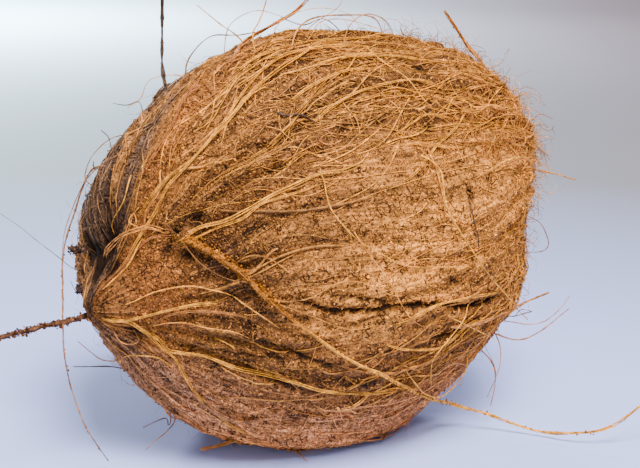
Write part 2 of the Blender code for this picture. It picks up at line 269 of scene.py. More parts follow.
# Corners and faces of one crumb, before it is stretched: eight-sided lumps and four-sided grains
LUMP = (
    np.array([[1, 0, 0], [0, 1, 0], [-1, 0, 0], [0, -1, 0], [0, 0, 1], [0, 0, -1]], float),
    np.array([[0, 1, 4], [1, 2, 4], [2, 3, 4], [3, 0, 4], [1, 0, 5], [2, 1, 5], [3, 2, 5], [0, 3, 5]]),
)
GRAIN = (
    np.array([[1, 1, 1], [-1, -1, 1], [-1, 1, -1], [1, -1, -1]], float),
    np.array([[0, 2, 1], [0, 1, 3], [0, 3, 2], [1, 2, 3]]),
)

# Fibres that pith covers, and up to what part of their length
COVERED = {"long_golden": 0.20}

# Thin hairs that stand clear of the husk or cross it, in the same form as the stray fibres
HAIRS = {
    "front_curve": (0.15, "gold", [
        (65, 50, -0.5), (63, 56, 1), (63, 58, 1), (62, 66, 1.2), (64, 72, 1), (68, 77, 1), (72, 80, 1),
        (78, 84, 0.8), (86, 86, 0.8), (95, 88, 0.8), (106, 95, -0.5)]),
    "front_cross": (0.16, "gold", [
        (102, 14, -0.5), (94, 25, 1.2), (94, 32, 1.5), (96, 38, 1.5), (98, 44, 1), (102, 47, -0.5)]),
    "front_down": (0.15, "gold", [
        (82, 32, -0.5), (85, 31, 1.2), (88, 29, 1.8), (93, 24, 1.5), (101, 16, -0.5)]),
    "right_drop": (0.24, "pale", [
        (94, 53, -0.5), (92, 56, 1.2), (92, 60, 1.2), (91, 68, 1.2), (91, 76, -0.5)]),
    "pale_thin": (0.15, "pale", [
        (66, 72, -0.5), (68, 78, 1.2), (72, 86, 1.2), (76, 95, 1.2), (78, 99, 1), (84, 106, -0.5)]),
    "rise_thin": (0.18, "gold", [
        (104, 106, -0.5), (98, 106, 1.2), (94, 108, 1.2), (88, 114, 1.4), (86, 117, 1.5),
        (92, 132, 2)]),
    "short_cross": (0.16, "gold", [
        (91, 106, -0.5), (94, 109, 1.5), (102, 118, 2.5), (110, 126, 2.5)]),
    "crescent": (0.24, "dark", [
        (102, 67, -0.5), (99, 71, 1), (100, 76, 1), (100, 80, 1), (102, 86, -0.5)]),
    "splinter_dark": (0.32, "dark", [
        (61, 31, -0.3), (63, 36, 0.8), (66, 38, 0.8), (69, 41, -0.3)]),
    "tiny_curl": (0.13, "pale", [
        (18, 28, -0.5), (18, 26, 1.5), (18, 21, 2.5), (20, 22, 2.5), (19, 28, 2), (17, 22, 0.5)]),
    "thin_c": (0.15, "pale", [
        (12, 106, -0.5), (14, 103, 0.6), (18, 98, 0.8), (23, 97, 0.8), (28, 98, 0.8), (35, 98, 0.8),
        (40, 101, -0.5)]),
    "thin_d": (0.17, "gold", [
        (27, 104, -0.5), (34, 105, 0.8), (40, 112, -0.5)]),
    "low_curl_gold": (0.18, "gold", [
        (22, 134, -0.5), (17, 131, 1), (14, 134, 1.5), (12, 150, 2), (12.5, 166, 2.2), (15, 178, 2.5)]),
    "crest_c": (0.17, "gold", [
        (32, -6, -0.5), (26, 2, 1.2), (22, 2, 1.5), (19, -15, 1.5), (18, -29, -0.5)]),
    "beak_ring": (0.15, "tan", [
        (5, 130, -0.5), (8, 134, 1.5), (10, 132, 2), (11, 122, 1.5), (8, 114, -0.5)]),
    "left_sweep": (0.16, "rust", [
        (40, 4, -1), (36, -20, 1.5), (34, -45, 2.5), (30, -72, 3.5), (24, -88, 3.8)]),
    "left_stub_a": (0.17, "dark", [
        (46, -46, -0.5), (50, -50, 2), (55, -52, 4), (52, -48, 6)]),
    "left_stub_b": (0.15, "dark", [
        (50, -27, -0.5), (52, -27, 3), (48, -24, 5), (48, -28, 7)]),
    "left_burr": (0.2, "dark", [
        (20, -66, -0.5), (18, -62, 2.5), (17, -60, 4.5), (16, -57, 6)]),
    "beak_lump": (0.2, "dark", [
        (15, -94, -0.5), (17, -97, 0.8), (20, -100, 0.3)]),
    "left_stub_d": (0.12, "dark", [
        (28, -110, -0.5), (36, -107, 2.5), (42, -104, 5.5)]),
    "far_left_shade": (0.11, "dark", [
        (72, -118, -1), (67, -111, 7), (62, -105, 12), (57.5, -102, 13), (49.5, -95.5, 11),
        (42.5, -87, 12), (39, -80, 15), (37.5, -75, 20)]),
    "left_stub_c": (0.18, "dark", [
        (44, -54, -0.5), (46, -56, 2), (43, -50, 4)]),
    "low_a": (0.17, "tan", [
        (26, -152, -0.5), (27, -144, 3), (26, -138, 4), (25, -130, 6)]),
    "low_b": (0.2, "dark", [
        (30, -153, -0.5), (28, -148, 3), (27, -143, 6), (25, -140, 9)]),
    "low_d": (0.15, "tan", [
        (42, -171, -0.5), (42, -176, 2), (40, -179, 4), (38, -180, 7), (37, -180, 10)]),
    "stub_a": (0.2, "tan", [
        (66, 164, -0.5), (66, 163, 2), (64, 158, 3), (64, 154, 3.6)]),
    "stub_b": (0.18, "tan", [
        (80, 168, -0.5), (78, 164, 1.5), (75, 160, 2.5)]),
    "right_curl_a": (0.18, "pith", [
        (117, 99, -0.5), (119, 102, 2), (120, 106, 4), (116, 106, 5), (114, 104, 4)]),
    "right_hair_b": (0.15, "tan", [
        (121, 135, -0.5), (118, 135, 3), (114, 135, 6), (110, 135, 8), (112, 144, 9)]),
    "right_hair_c": (0.15, "tan", [
        (120, 130, -0.5), (120, 127, 3), (121, 126, 6), (124, 125, 9), (131, 124, 12), (136, 122, 14)]),
    "right_tuft_b": (0.16, "tan", [
        (144, 42, -0.5), (145, 42, 3), (144, 42, 5), (150, 44, 7)]),
    "right_low": (0.15, "pith", [
        (118, 88, -0.5), (115, 88, 3), (116, 88, 6), (115, 89, 8)]),
    "crown_a": (0.14, "gold", [
        (84, 14, -1), (90, 6, 3.5), (99, 3, 4.5), (110, 4, 4), (116, 8, -0.5)]),
    "crown_b": (0.13, "tan", [
        (88, -6, -1), (94, -2, 3), (98, 2, 6.5), (100, 2, 11)]),
    "crown_c": (0.12, "gold", [
        (72, 16, -1), (78, 6, 3), (84, 4, 7), (92, 5, 8), (99, 7, 5), (102, 12, -0.5)]),
    "crown_d": (0.13, "tan", [
        (64, 4, -1), (68, -4, 3), (71, -2, 7), (76, 3, 9), (82, 6, 6)]),
}

# Where the weathered, pithy, damp and pale parts lie, and the pits and dents that are sunk into the
# relief and painted with shade, in degrees, with the spread each way
DAMP_SPOTS = (
    (34, 66, 10, 14, 1.0), (39, 86, 10, 14, 0.7), (36, 106, 12, 12, 0.7), (46, 48, 14, 9, 0.6),
    (26, 40, 5, 9, 0.6), (12, -22, 7, 24, 1.0), (50, 128, 14, 10, 0.2), (60, 66, 14, 6, 0.35),
)
DARK_SPOTS = (
    (24.5, 48, 2.2, 4, 1.0), (31, 49, 2.2, 3.5, 1.0), (26, 61, 1.6, 3, 1.0), (14, -30, 5, 12, 0.9),
    (97, 48.5, 2.0, 2.2, 0.8), (104, 30, 2.6, 2.5, 0.9), (46, 63, 8, 1.2, 0.35), (57, 62, 7, 1.2, 0.3),
    (92, 94, 3.0, 1.4, 0.35), (106, 96, 3.0, 1.4, 0.3), (56, 136, 3.0, 3.0, 0.8),
    (9, 118, 2.0, 8.0, 0.8), (17, -60, 3.2, 9, 1.0), (12, -48, 3.4, 10, 1.0), (9, -34, 2.6, 12, 1.0),
    (21, 52, 1.5, 3, 0.9), (101.5, 71, 1.0, 3.4, 0.9), (8.5, 20, 2.0, 12, 0.85),
)
PALE_SPOTS = (
    (84, 86, 24, 18, 0.9), (112, 70, 22, 22, 0.5), (70, 100, 16, 10, 0.4),
)

# The husk's own colours, and those of listed fibres: a colour that each is a share of, and
# its shares of red, green and blue
HUSK_COLOURS = ("tan", "light_tan", "pale", "pith", "reddish", "weathered", "damp", "gold", "fleck",
                "crevice_shade")
FIBRE_COLOURS = {
    "tan": ("light_tan", (1.0, 1.0, 1.0)),
    "dark": ("weathered", (0.62, 0.62, 0.62)),
    "bark": ("damp", (1.25, 1.25, 1.25)),
    "root": ("pith", (0.72, 0.74, 0.30)),
    "brown": ("light_tan", (0.48, 0.48, 0.48)),
    "rust": ("reddish", (0.36, 0.36, 0.36)),
}

# Ridges where loose hairs grow thicker: degrees around from and to, and the soft edge
FRIZZY_RIDGES = ((-4.0, 20.0, 8.0), (138.0, 160.0, 10.0), (-92.0, -72.0, 8.0))

# How much darker the painted shade makes the husk toward the beak and along the top
PAINTED_SHADE_DEPTH = 0.16

# Stage, in metres
FLOOR_RADIUS = 1.5
WALL_BEND = 0.9
PROFILE_POINTS = 24
FLOOR_TURNS = 96
# Painted shade of the floor: distances where it starts and is full, and places across where it runs from
# left to right
FAR_FLOOR_STARTS = 0.10
FAR_FLOOR_ENDS = 0.40
FAR_LEFT_AT = -0.55
FAR_RIGHT_AT = 0.35
CAMERA_AZIMUTH = math.radians(-39.4)
CAMERA_ELEVATION = math.radians(12.0)
CAMERA_DISTANCE = 0.4395
CAMERA_ROLL = math.radians(0.75)
CAMERA_LENS = 93.6
CAMERA_SENSOR = 36.0
CAMERA_SHIFT = 0.0039

# Lights: name, place and aim in metres toward the camera, to its right and up from the
# coconut, size in metres, the setting that holds the power, and colour
WARM_LIGHT = (1.0, 0.97, 0.92)
COOL_LIGHT = (0.85, 0.93, 1.0)
LIGHTS = (
    ("key", (0.42, 0.14, 0.68), (0.0, 0.0, 0.0), 0.40, "key_power", WARM_LIGHT),
    ("fill", (0.95, -0.15, 0.12), (0.0, 0.0, 0.0), 0.60, "fill_power", WARM_LIGHT),
    ("backdrop", (-1.25, -0.45, 0.35), (-1.25, -0.45, 0.0), 0.30, "backdrop_power", COOL_LIGHT),
)

Zones = namedtuple("Zones", "weathered pithy reddish pale damp")


def smooth_step(x):
    """Zero below 0, one above 1, and 3x squared less 2x cubed between."""
    x = np.clip(x, 0.0, 1.0)
    return x * x * (3.0 - 2.0 * x)


def turn_between(first, second):
    """The signed turn from one angle to another, within half a turn either way."""
    return (first - second + math.pi) % FULL_TURN - math.pi


def ridge_angle(name, along):
    """A ridge swings from its angle at the beak to its angle further along."""
    at_beak, further = np.radians(RIDGES[name])
    return at_beak + (further - at_beak) * smooth_step(along / RIDGE_SETTLES_AT)


def bump(place, along, around, spread=1.0):
    """A rounded bump of height one at a place on the husk."""
    far_along = (along - place["along"]) / (place["long"] * spread)
    far_around = turn_between(around, place["around"]) / (place["wide"] * spread)
    return np.exp(-far_along ** 2 - far_around ** 2)


def wave_sum(along, around, seed, turns, swings, count=9):
    """Seeded waves over the husk, whole numbers of turns around it, summed to about one."""
    draw = np.random.default_rng(seed)
    total = np.zeros(np.broadcast(along, around).shape)
    for _ in range(count):
        around_turns = draw.integers(turns[0], turns[1] + 1)
        along_swing = draw.uniform(swings[0], swings[1])
        start = draw.uniform(0.0, FULL_TURN)
        total += np.cos(around_turns * around + along_swing * along + start)
    return total / math.sqrt(count)


def bundle_path(along, column):
    """A fibre bundle follows its column and wanders a few degrees either way, by two sines of
    the angle along, weaker toward the ends."""
    slow = 0.055 * np.sin(2.3 * along + 3.0 * column)
    quick = 0.035 * np.sin(4.1 * along - 5.0 * column + 1.0)
    return column + (slow + quick) * np.sin(along)


def face_shape(along, around):
    """How the round section is flattened between ridges and how deep each face is sunk."""
    flat = np.zeros(np.broadcast(along, around).shape)
    sunk = np.zeros_like(flat)
    for (first, second), depth in FACE_SINK.items():
        start = ridge_angle(first, along)
        width = np.mod(ridge_angle(second, along) - start, FULL_TURN)
        passed = np.mod(around - start, FULL_TURN)
        inside = passed < width
        part = np.where(inside, passed / width, 0.0)
        flat = np.where(inside, np.cos(FULL_TURN * part), flat)
        sunk = np.where(inside, depth * np.sin(math.pi * part) ** 2, sunk)
    return flat, sunk * np.exp(-(along / FACE_SINK_SPREAD) ** 2)


def relief(along, around, column):
    """Height of the fibre bundles and of the small forms above the smooth shell.

    The bundles lie lower where the husk is felt and on the far side."""
    away_from_ends = np.sin(along)
    on_mat = bump(MAT, along, around)
    on_pad = bump(PAD, along, around)
    uneven = wave_sum(along, around, SURFACE_SEED, (2, 9), (-5.0, 5.0))
    strength = 0.80 + 0.55 * wave_sum(along, around, SURFACE_SEED + 1, (3, 17), (-6.0, 6.0))
    bundles = np.cos(BUNDLES * column) * np.clip(strength, 0.15, 1.7) * away_from_ends ** 0.6
    bundles = bundles * (1.0 - 0.65 * felted(along, around) - 0.45 * window(around, 205.0, 320.0, 34.0))
    height = BUNDLE_HEIGHT * bundles * (1.0 - 0.8 * on_pad)
    height += LUMP_HEIGHT * uneven * away_from_ends ** 0.5
    height -= HOLLOW_DEPTH * bump(HOLLOW, along, around)
    height += KNOB_HEIGHT * bump(KNOB, along, around)
    height -= PITS_DEPTH * bump(KNOB, along, around, PITS_SPREAD)
    height += PAD_HEIGHT * on_pad
    height += MAT_HEIGHT * on_mat * (1.0 + 0.18 * uneven)
    height -= WAIST_DEPTH * bump(WAIST, along, around) + SHOULDER_DEPTH * bump(SHOULDER, along, around)
    return height


def shell_points(along, around, height):
    """Points on the shell, raised by a height: an egg drawn out into a beak at one end.

    The radius follows a power of the sine of the angle along, the length its cosine. Ridges
    stand on it, its faces are a little flat, the axis tilts up toward the blunt end and the
    beak hangs a little lower than the axis."""
    flat, sunk = face_shape(along, around)
    sine = np.maximum(np.sin(along), 0.0)
    crest = np.zeros_like(flat)
    for name in RIDGES:
        crest += np.exp(-(turn_between(around, ridge_angle(name, along)) / RIDGE_SPREAD) ** 2)
    radius = SHELL_RADIUS * sine ** ROUNDNESS * (1.0 + FATTER_AT_BEAK * np.cos(along))
    radius = radius * (1.0 + FACE_FLATNESS * flat - sunk) + RIDGE_HEIGHT * crest * sine ** 0.7
    radius = radius + height * np.sqrt(sine)
    length = -SHELL_HALF_LENGTH * np.cos(along) - BEAK_LENGTH * np.exp(-(along / BEAK_SPREAD) ** 2)
    length = length - height * np.cos(along)
    up = radius * np.cos(around)
    x = length * math.cos(AXIS_TILT) - up * math.sin(AXIS_TILT)
    z = length * math.sin(AXIS_TILT) + up * math.cos(AXIS_TILT)
    z = z - BEAK_DROP * np.exp(-(along / BEAK_DROP_SPREAD) ** 2)
    return np.stack([x, -radius * np.sin(around), z], axis=-1) + CENTRE


def grid_noise(along, column, cells, seed):
    """Random heights from -1 to 1 on a grid of cells over the husk, joined smoothly.

    The cells are counted from end to end and around, and the grid closes on itself around."""
    lengthwise, crosswise = cells
    heights = np.random.default_rng(seed).uniform(-1.0, 1.0, (lengthwise + 2, crosswise))
    row = np.clip(along / math.pi, 0.0, 1.0) * lengthwise
    place = np.mod(column / FULL_TURN, 1.0) * crosswise
    row_index = row.astype(int)
    place_index = place.astype(int) % crosswise
    beside = (place_index + 1) % crosswise
    row_part = smooth_step(row - row_index)
    place_part = smooth_step(place - np.floor(place))
    near, far = (heights[row, place_index] * (1 - place_part) + heights[row, beside] * place_part
                 for row in (row_index, row_index + 1))
    return near * (1 - row_part) + far * row_part


def window(angle, start, end, soft):
    """One for angles from start to end, in degrees, falling to zero over a soft edge."""
    middle = math.radians(0.5 * (start + end))
    half = math.radians(0.5 * (end - start))
    return smooth_step((half - np.abs(turn_between(angle, middle))) / math.radians(soft) + 0.5)


def spots(places, along, around):
    """The sum of rounded spots, each given by degrees along, around, spread each way and weight."""
    total = np.zeros(np.broadcast(along, around).shape)
    for at_along, at_around, long, wide, weight in places:
        place = {"along": math.radians(at_along), "around": math.radians(at_around),
                 "long": math.radians(long), "wide": math.radians(wide)}
        total += weight * bump(place, along, around)
    return np.clip(total, 0.0, 1.0)


def dark_hollows(along, around):
    """How deep in shadow each place is: the hollow by the beak, the pits, dents and crevices."""
    open_gap = np.clip((crevice_depth(along, around) / MM - 0.30) / 0.5, 0.0, 1.0)
    shadow = bump(HOLLOW, along, around) ** 0.6 + spots(DARK_SPOTS, along, around) + open_gap
    return np.clip(shadow, 0.0, 1.0)


def beak_and_top_shade(along, around):
    """How far the husk is painted with shade: the beak's half of the broad face and the top band."""
    front = window(around, -100.0, 122.0, 24.0) * (1.0 - smooth_step((along - 1.30) / 0.70))
    top = window(around, -30.0, 50.0, 20.0) * (1.0 - smooth_step((along - 1.90) / 0.50))
    return np.clip(np.maximum(front, top), 0.0, 1.0)


def felted(along, around):
    """How far each place is smooth felt, as the middle of the broad face is, from 0 to 1."""
    middle = smooth_step((along - 0.80) / 0.35) * (1.0 - smooth_step((along - 1.85) / 0.35))
    return window(around, 50.0, 118.0, 22.0) * middle


def shade_under_strands(along, around):
    """How far each place is painted with the shade of thick strands over it: the upper broad face and
    the low front.
    """
    upper = window(around, 2.0, 50.0, 16.0) * smooth_step((along - 0.7) / 0.4)
    lower = window(around, 104.0, 136.0, 16.0) * smooth_step((along - 0.4) / 0.4)
    return np.clip(upper + 0.7 * lower, 0.0, 1.0) * (1.0 - 0.6 * smooth_step((along - 2.1) / 0.5))


def husk_zones(along, around):
    """How weathered, pithy, reddish, pale and damp each place is, from 0 to 1.

    The face behind the upper ridge is weathered. Pith shows on the ridges and the beak's pad.
    The lower husk is reddish, painted brighter as light on its shaded underside, and the middle of the
    broad face is pale. All of it evens out toward the blunt end."""
    waver = 0.09 * grid_noise(along, around, (7, 12), 91)
    waver = waver + 0.07 * grid_noise(along, around, (16, 40), 92)
    shifted = around + waver
    upper = ridge_angle("upper", along)
    evened = 1.0 - 0.75 * smooth_step((along - 2.25) / 0.55)
    behind = np.degrees(turn_between(shifted, upper))
    weathered = smooth_step((-4.0 - behind) / 14.0) * smooth_step((behind + 118.0) / 44.0)
    weathered = weathered * (1.0 - 0.55 * smooth_step((along - 1.5) / 0.9)) * evened
    band = window(turn_between(around, upper), -50.0, 5.0, 18.0) * smooth_step((along - 0.25) / 0.3)
    weathered = weathered + 0.8 * band * grid_noise(along, around, (5, 78), 93)
    below_beak = window(shifted, 132.0, 225.0, 24.0) * (1.0 - smooth_step((along - 0.45) / 0.45))
    weathered = weathered + 0.55 * below_beak
    on_upper = np.exp(-(turn_between(around, upper) / 0.12) ** 2)
    on_lower = np.exp(-(turn_between(around, ridge_angle("lower", along)) / 0.10) ** 2)
    on_far = np.exp(-(turn_between(around, ridge_angle("far", along)) / 0.08) ** 2)
    toward_beak = 1.0 - smooth_step((along - 0.8) / 0.8)
    on_ridges = 0.95 * on_upper + 0.35 * on_lower + 0.2 * on_far
    pithy = 1.1 * bump(PAD, along, around, 1.15) + toward_beak * on_ridges
    # The reddish colour carries painted light for the shaded underside, so less of it goes on the back,
    # where the key light falls
    reddish = window(shifted, 129.0, 262.0, 30.0) * smooth_step((along - 0.12) / 0.3) * evened
    reddish = reddish * (1.0 - 0.60 * window(around, 205.0, 300.0, 50.0))
    pale = spots(PALE_SPOTS, along, around)
    damp = spots(DAMP_SPOTS, along, around)
    return Zones(*(np.clip(part, 0.0, 1.0) for part in (weathered, pithy, reddish, pale, damp)))


def crevice_depth(along, around):
    """Depth of the open crevices: a narrow groove along each route, a raised lip on its lower
    side, and random narrowings and small side steps along it."""
    depth = np.zeros(np.broadcast(along, around).shape)
    jitter = 0.006 * grid_noise(along, np.zeros_like(along), (150, 3), 51)
    uneven = 1.0 + 0.45 * grid_noise(along, np.zeros_like(along), (90, 3), 52)
    for route, deep in CREVICES:
        stops = np.radians(np.array(route, float))
        centre = np.interp(along, stops[:, 0], stops[:, 1]) + jitter
        part = (along - stops[0, 0]) / (stops[-1, 0] - stops[0, 0])
        inside = smooth_step(part / 0.12) * smooth_step((1.0 - part) / 0.18)
        across = turn_between(around, centre) / (CREVICE_WIDTH * uneven)
        lip = 0.40 * np.exp(-((across - 2.6) / 1.3) ** 2)
        depth += deep * MM * inside * (np.exp(-across ** 2) - lip)
    return depth


def split_depth(along, around):
    """Depth of the long splits: a narrow groove with a lip on its lower side, both fading at
    the ends and drifting sideways."""
    depth = crevice_depth(along, around)
    for start, end, at_around, drift, deep in SPLITS:
        part = (along - math.radians(start)) / math.radians(end - start)
        wander = 1.6 * np.sin(9.0 * part + at_around) + 0.8 * np.sin(23.0 * part + start)
        centre = math.radians(at_around) + np.radians(drift * part + wander)
        width = 0.015 + 0.006 * np.sin(7.0 * part + end)
        inside = smooth_step(part / 0.15) * smooth_step((1.0 - part) / 0.15)
        across = turn_between(around, centre) / width
        lip = 0.45 * np.exp(-((across - 2.6) / 1.4) ** 2)
        depth += deep * MM * inside * (np.exp(-across ** 2) - lip)
    return depth


def fine_relief(along, around, column):
    """Height of the fine coir over the bundles: stretched noise for fibres, winding grooves
    where a wide stretched noise crosses zero, crumbly noise for pith, and the long splits."""
    zones = husk_zones(along, around)
    coarse = grid_noise(along, column, (17, 64), 31)
    fibres = (0.55 * grid_noise(along, column, (24, 130), 32)
              + 0.45 * grid_noise(along, column, (44, 210), 33))
    crumbly = (0.6 * grid_noise(along, column, (86, 150), 34)
               + 0.4 * grid_noise(along, column, (150, 222), 35))
    winding = np.exp(-(grid_noise(along, column, (12, 52), 36) / 0.10) ** 2)
    crossing = np.exp(-(grid_noise(along, column + 0.25 * along, (26, 40), 37) / 0.06) ** 2)
    calm = 1.0 - 0.75 * felted(along, around) - 0.35 * zones.reddish
    clumps = bump(MAT, along, around, 1.1) * (0.9 * grid_noise(along, column, (30, 64), 38)
                                              + 0.5 * grid_noise(along, column, (60, 130), 39))
    pith_share = 0.40 + 0.60 * np.clip(zones.pithy + zones.damp, 0.0, 1.0)
    height = 0.30 * coarse * calm + 0.32 * fibres * (1.0 - 0.5 * zones.pithy)
    height = height + 0.34 * crumbly * pith_share * calm
    height = height - (0.75 - 0.35 * zones.reddish) * winding * (1.0 - zones.pithy) * calm + clumps
    height = height - 0.30 * crossing * (1.0 - zones.weathered) * calm
    strips = grid_noise(along, column, (5, 78), 40)
    height = height - 0.9 * zones.weathered * np.exp(-(strips / 0.16) ** 2)
    pits = 1.3 * MM * spots(DARK_SPOTS, along, around)
    return height * MM * np.sin(along) ** 0.5 - split_depth(along, around) - pits


def husk_height(along, column):
    """The full height of the husk over the shell, with the angle around that it belongs to."""
    around = bundle_path(along, column)
    fine = fine_relief(along, around, column)
    return around, relief(along, around, column) + fine, fine


def husk_points(along, column, lift):
    """Points a given height above the finished husk, never below the surface it lies on."""
    around, height, _ = husk_height(along, column)
    points = shell_points(along, around, height + lift)
    points[..., 2] = np.maximum(points[..., 2], 0.25 * MM)
    return points, around


def distance_gone(points):
    """The distance gone along a path at each of its points: the lengths of its steps, added up."""
    return np.concatenate([[0.0], np.cumsum(np.linalg.norm(np.diff(points, axis=0), axis=1))])


def smooth_route(points, step):
    """Points evenly spaced along a smooth curve through the given ones.

    Between two points the curve is a cubic whose slope at each of them is half the way from
    the point before it to the point after it."""
    points = np.asarray(points)
    padded = np.vstack([2.0 * points[0] - points[1], points, 2.0 * points[-1] - points[-2]])
    dense = []
    for before, start, end, after in zip(padded, padded[1:], padded[2:], padded[3:]):
        t = np.linspace(0.0, 1.0, CURVE_STEPS, endpoint=False)[:, None]
        dense.append(0.5 * (2.0 * start + (end - before) * t
                            + (2.0 * before - 5.0 * start + 4.0 * end - after) * t ** 2
                            + (3.0 * start - before - 3.0 * end + after) * t ** 3))
    dense = np.vstack(dense + [points[-1:]])
    travelled = distance_gone(dense)
    count = max(3, int(round(travelled[-1] / step)) + 1)
    wanted = np.linspace(0.0, travelled[-1], count)
    return np.stack([np.interp(wanted, travelled, dense[:, k]) for k in range(3)], axis=1)


def unit(vectors):
    """The same directions at length one."""
    return vectors / np.maximum(np.linalg.norm(vectors, axis=-1, keepdims=True), 1e-12)


def rods(paths, radii, sides, flat=1.0):
    """Tapering rods along many paths at once, as points and triangles.

    Around each path point stands a ring of corners, at its radius times the cosine and sine of
    equal turns in the plane across the path, the outward part scaled to flatten the rod. Bands
    of triangles join the rings and a fan closes each end."""
    count, stations, _ = paths.shape
    tangents = unit(np.gradient(paths, axis=1))
    outward = unit(paths - CENTRE)
    side = unit(np.cross(tangents, outward))
    other = np.cross(tangents, side)
    turn = np.arange(sides) * (FULL_TURN / sides)
    ring = (np.cos(turn)[:, None] * side[:, :, None, :]
            + flat * np.sin(turn)[:, None] * other[:, :, None, :])
    points = paths[:, :, None, :] + radii[:, :, None, None] * ring
    points[..., 2] = np.maximum(points[..., 2], 0.0)
    corner = np.arange(sides)
    following = (corner + 1) % sides
    low = np.arange(stations - 1)[:, None] * sides
    band = np.stack([low + corner, low + following, low + sides + corner,
                     low + following, low + sides + following, low + sides + corner], axis=-1)
    band = band.reshape(-1, 3)
    fan = np.stack([np.zeros(sides - 2, int), corner[2:], corner[1:-1]], axis=-1)
    far_fan = fan[:, ::-1] + (stations - 1) * sides
    single = np.concatenate([band, fan, far_fan])
    faces = single[None] + (np.arange(count) * stations * sides)[:, None, None]
    return points.reshape(-1, 3), faces.reshape(-1, 3)


def per_corner(values, sides):
    """Repeats the value at each point of the paths over the corners around it."""
    return np.repeat(values.reshape(-1, values.shape[-1]), sides, axis=0)


def new_piece(name, points, faces, material, colours=None, vectors=None):
    """A finished piece from arrays of points and triangles, with its colours on its points."""
    mesh = bpy.data.meshes.new(name)
    mesh.vertices.add(len(points))
    mesh.vertices.foreach_set("co", np.ascontiguousarray(points, dtype=np.float32).ravel())
    mesh.loops.add(faces.size)
    mesh.loops.foreach_set("vertex_index", np.ascontiguousarray(faces, dtype=np.int32).ravel())
    mesh.polygons.add(len(faces))
    mesh.polygons.foreach_set("loop_start", np.arange(0, faces.size, 3, dtype=np.int32))
    mesh.update(calc_edges=True)
    mesh.validate()
    for label, values in (colours or {}).items():
        layer = mesh.attributes.new(label, "FLOAT_COLOR", "POINT")
        layer.data.foreach_set("color", np.ascontiguousarray(values, dtype=np.float32).ravel())
    for label, values in (vectors or {}).items():
        layer = mesh.attributes.new(label, "FLOAT_VECTOR", "POINT")
        layer.data.foreach_set("vector", np.ascontiguousarray(values, dtype=np.float32).ravel())
    mesh.shade_smooth()
    mesh.materials.append(material)
    piece = bpy.data.objects.new(name, mesh)
    bpy.context.scene.collection.objects.link(piece)
    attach(piece, BODY)
    return piece


def add_node(tree, kind, values=None, **settings):
    """A shader node with its sockets set to values or joined to other nodes' sockets."""
    made = tree.nodes.new(kind)
    for key, value in settings.items():
        setattr(made, key, value)
    for socket, value in (values or {}).items():
        if isinstance(value, bpy.types.NodeSocket):
            tree.links.new(value, made.inputs[socket])
        else:
            made.inputs[socket].default_value = value
    return made


def mixed(tree, share, first, second, blend="MIX"):
    """A colour between two others by a share, each a colour or a socket."""
    made = add_node(tree, "ShaderNodeMix", {0: share, 6: first, 7: second}, data_type="RGBA",
                    blend_type=blend)
    return made.outputs[2]


def ranged(tree, value, low, high, to_low, to_high):
    """A value carried from one range to another and held inside it."""
    made = add_node(tree, "ShaderNodeMapRange", {0: value, 1: low, 2: high, 3: to_low, 4: to_high})
    return made.outputs[0]


def grey(tree, value):
    """A grey colour of a value, for multiplying with."""
    return add_node(tree, "ShaderNodeCombineColor", {0: value, 1: value, 2: value}).outputs[0]


def toned(tree, colour, value, low, high, to_low, to_high):
    """A colour times a grey, where a value's range gives the grey's."""
    tone = grey(tree, ranged(tree, value, low, high, to_low, to_high))
    return mixed(tree, 1.0, colour, tone, "MULTIPLY")


def bumped(tree, height, strength, distance, normal=None):
    """The surface's direction where a height raises it, over that of a coarser bump."""
    values = {"Strength": strength, "Distance": distance, "Height": height}
    if normal is not None:
        values["Normal"] = normal
    return add_node(tree, "ShaderNodeBump", values).outputs[0]


def noise(tree, vector, scale, detail=3.0, roughness=0.6):
    """The strength of a noise pattern on a vector."""
    made = add_node(tree, "ShaderNodeTexNoise", {"Vector": vector, "Scale": scale, "Detail": detail,
                                                 "Roughness": roughness})
    return made.outputs["Fac"]


def product(tree, first, second):
    """One value times another."""
    return add_node(tree, "ShaderNodeMath", {0: first, 1: second}, operation="MULTIPLY").outputs[0]


def crack_pattern(tree, place):
    """How far each point is from a net of winding cracks, as a part of one cell of the net."""
    waver = add_node(tree, "ShaderNodeTexNoise", {"Vector": place, "Scale": 260.0, "Detail": 2.0})
    shift = add_node(tree, "ShaderNodeVectorMath", {0: waver.outputs["Color"], "Scale": 0.0035},
                     operation="SCALE")
    bent = add_node(tree, "ShaderNodeVectorMath", {0: place, 1: shift.outputs[0]}, operation="ADD")
    net = add_node(tree, "ShaderNodeTexVoronoi", {"Vector": bent.outputs[0], "Scale": 360.0},
                   feature="DISTANCE_TO_EDGE")
    return net.outputs["Distance"]


def attribute(tree, label):
    """A node that reads one of the piece's own attributes."""
    return add_node(tree, "ShaderNodeAttribute", attribute_name=label, attribute_type="GEOMETRY")


def new_material(name):
    """An empty procedural material with its shader."""
    material = bpy.data.materials.new(name)
    material.use_nodes = True
    tree = material.node_tree
    return material, tree, tree.nodes["Principled BSDF"]


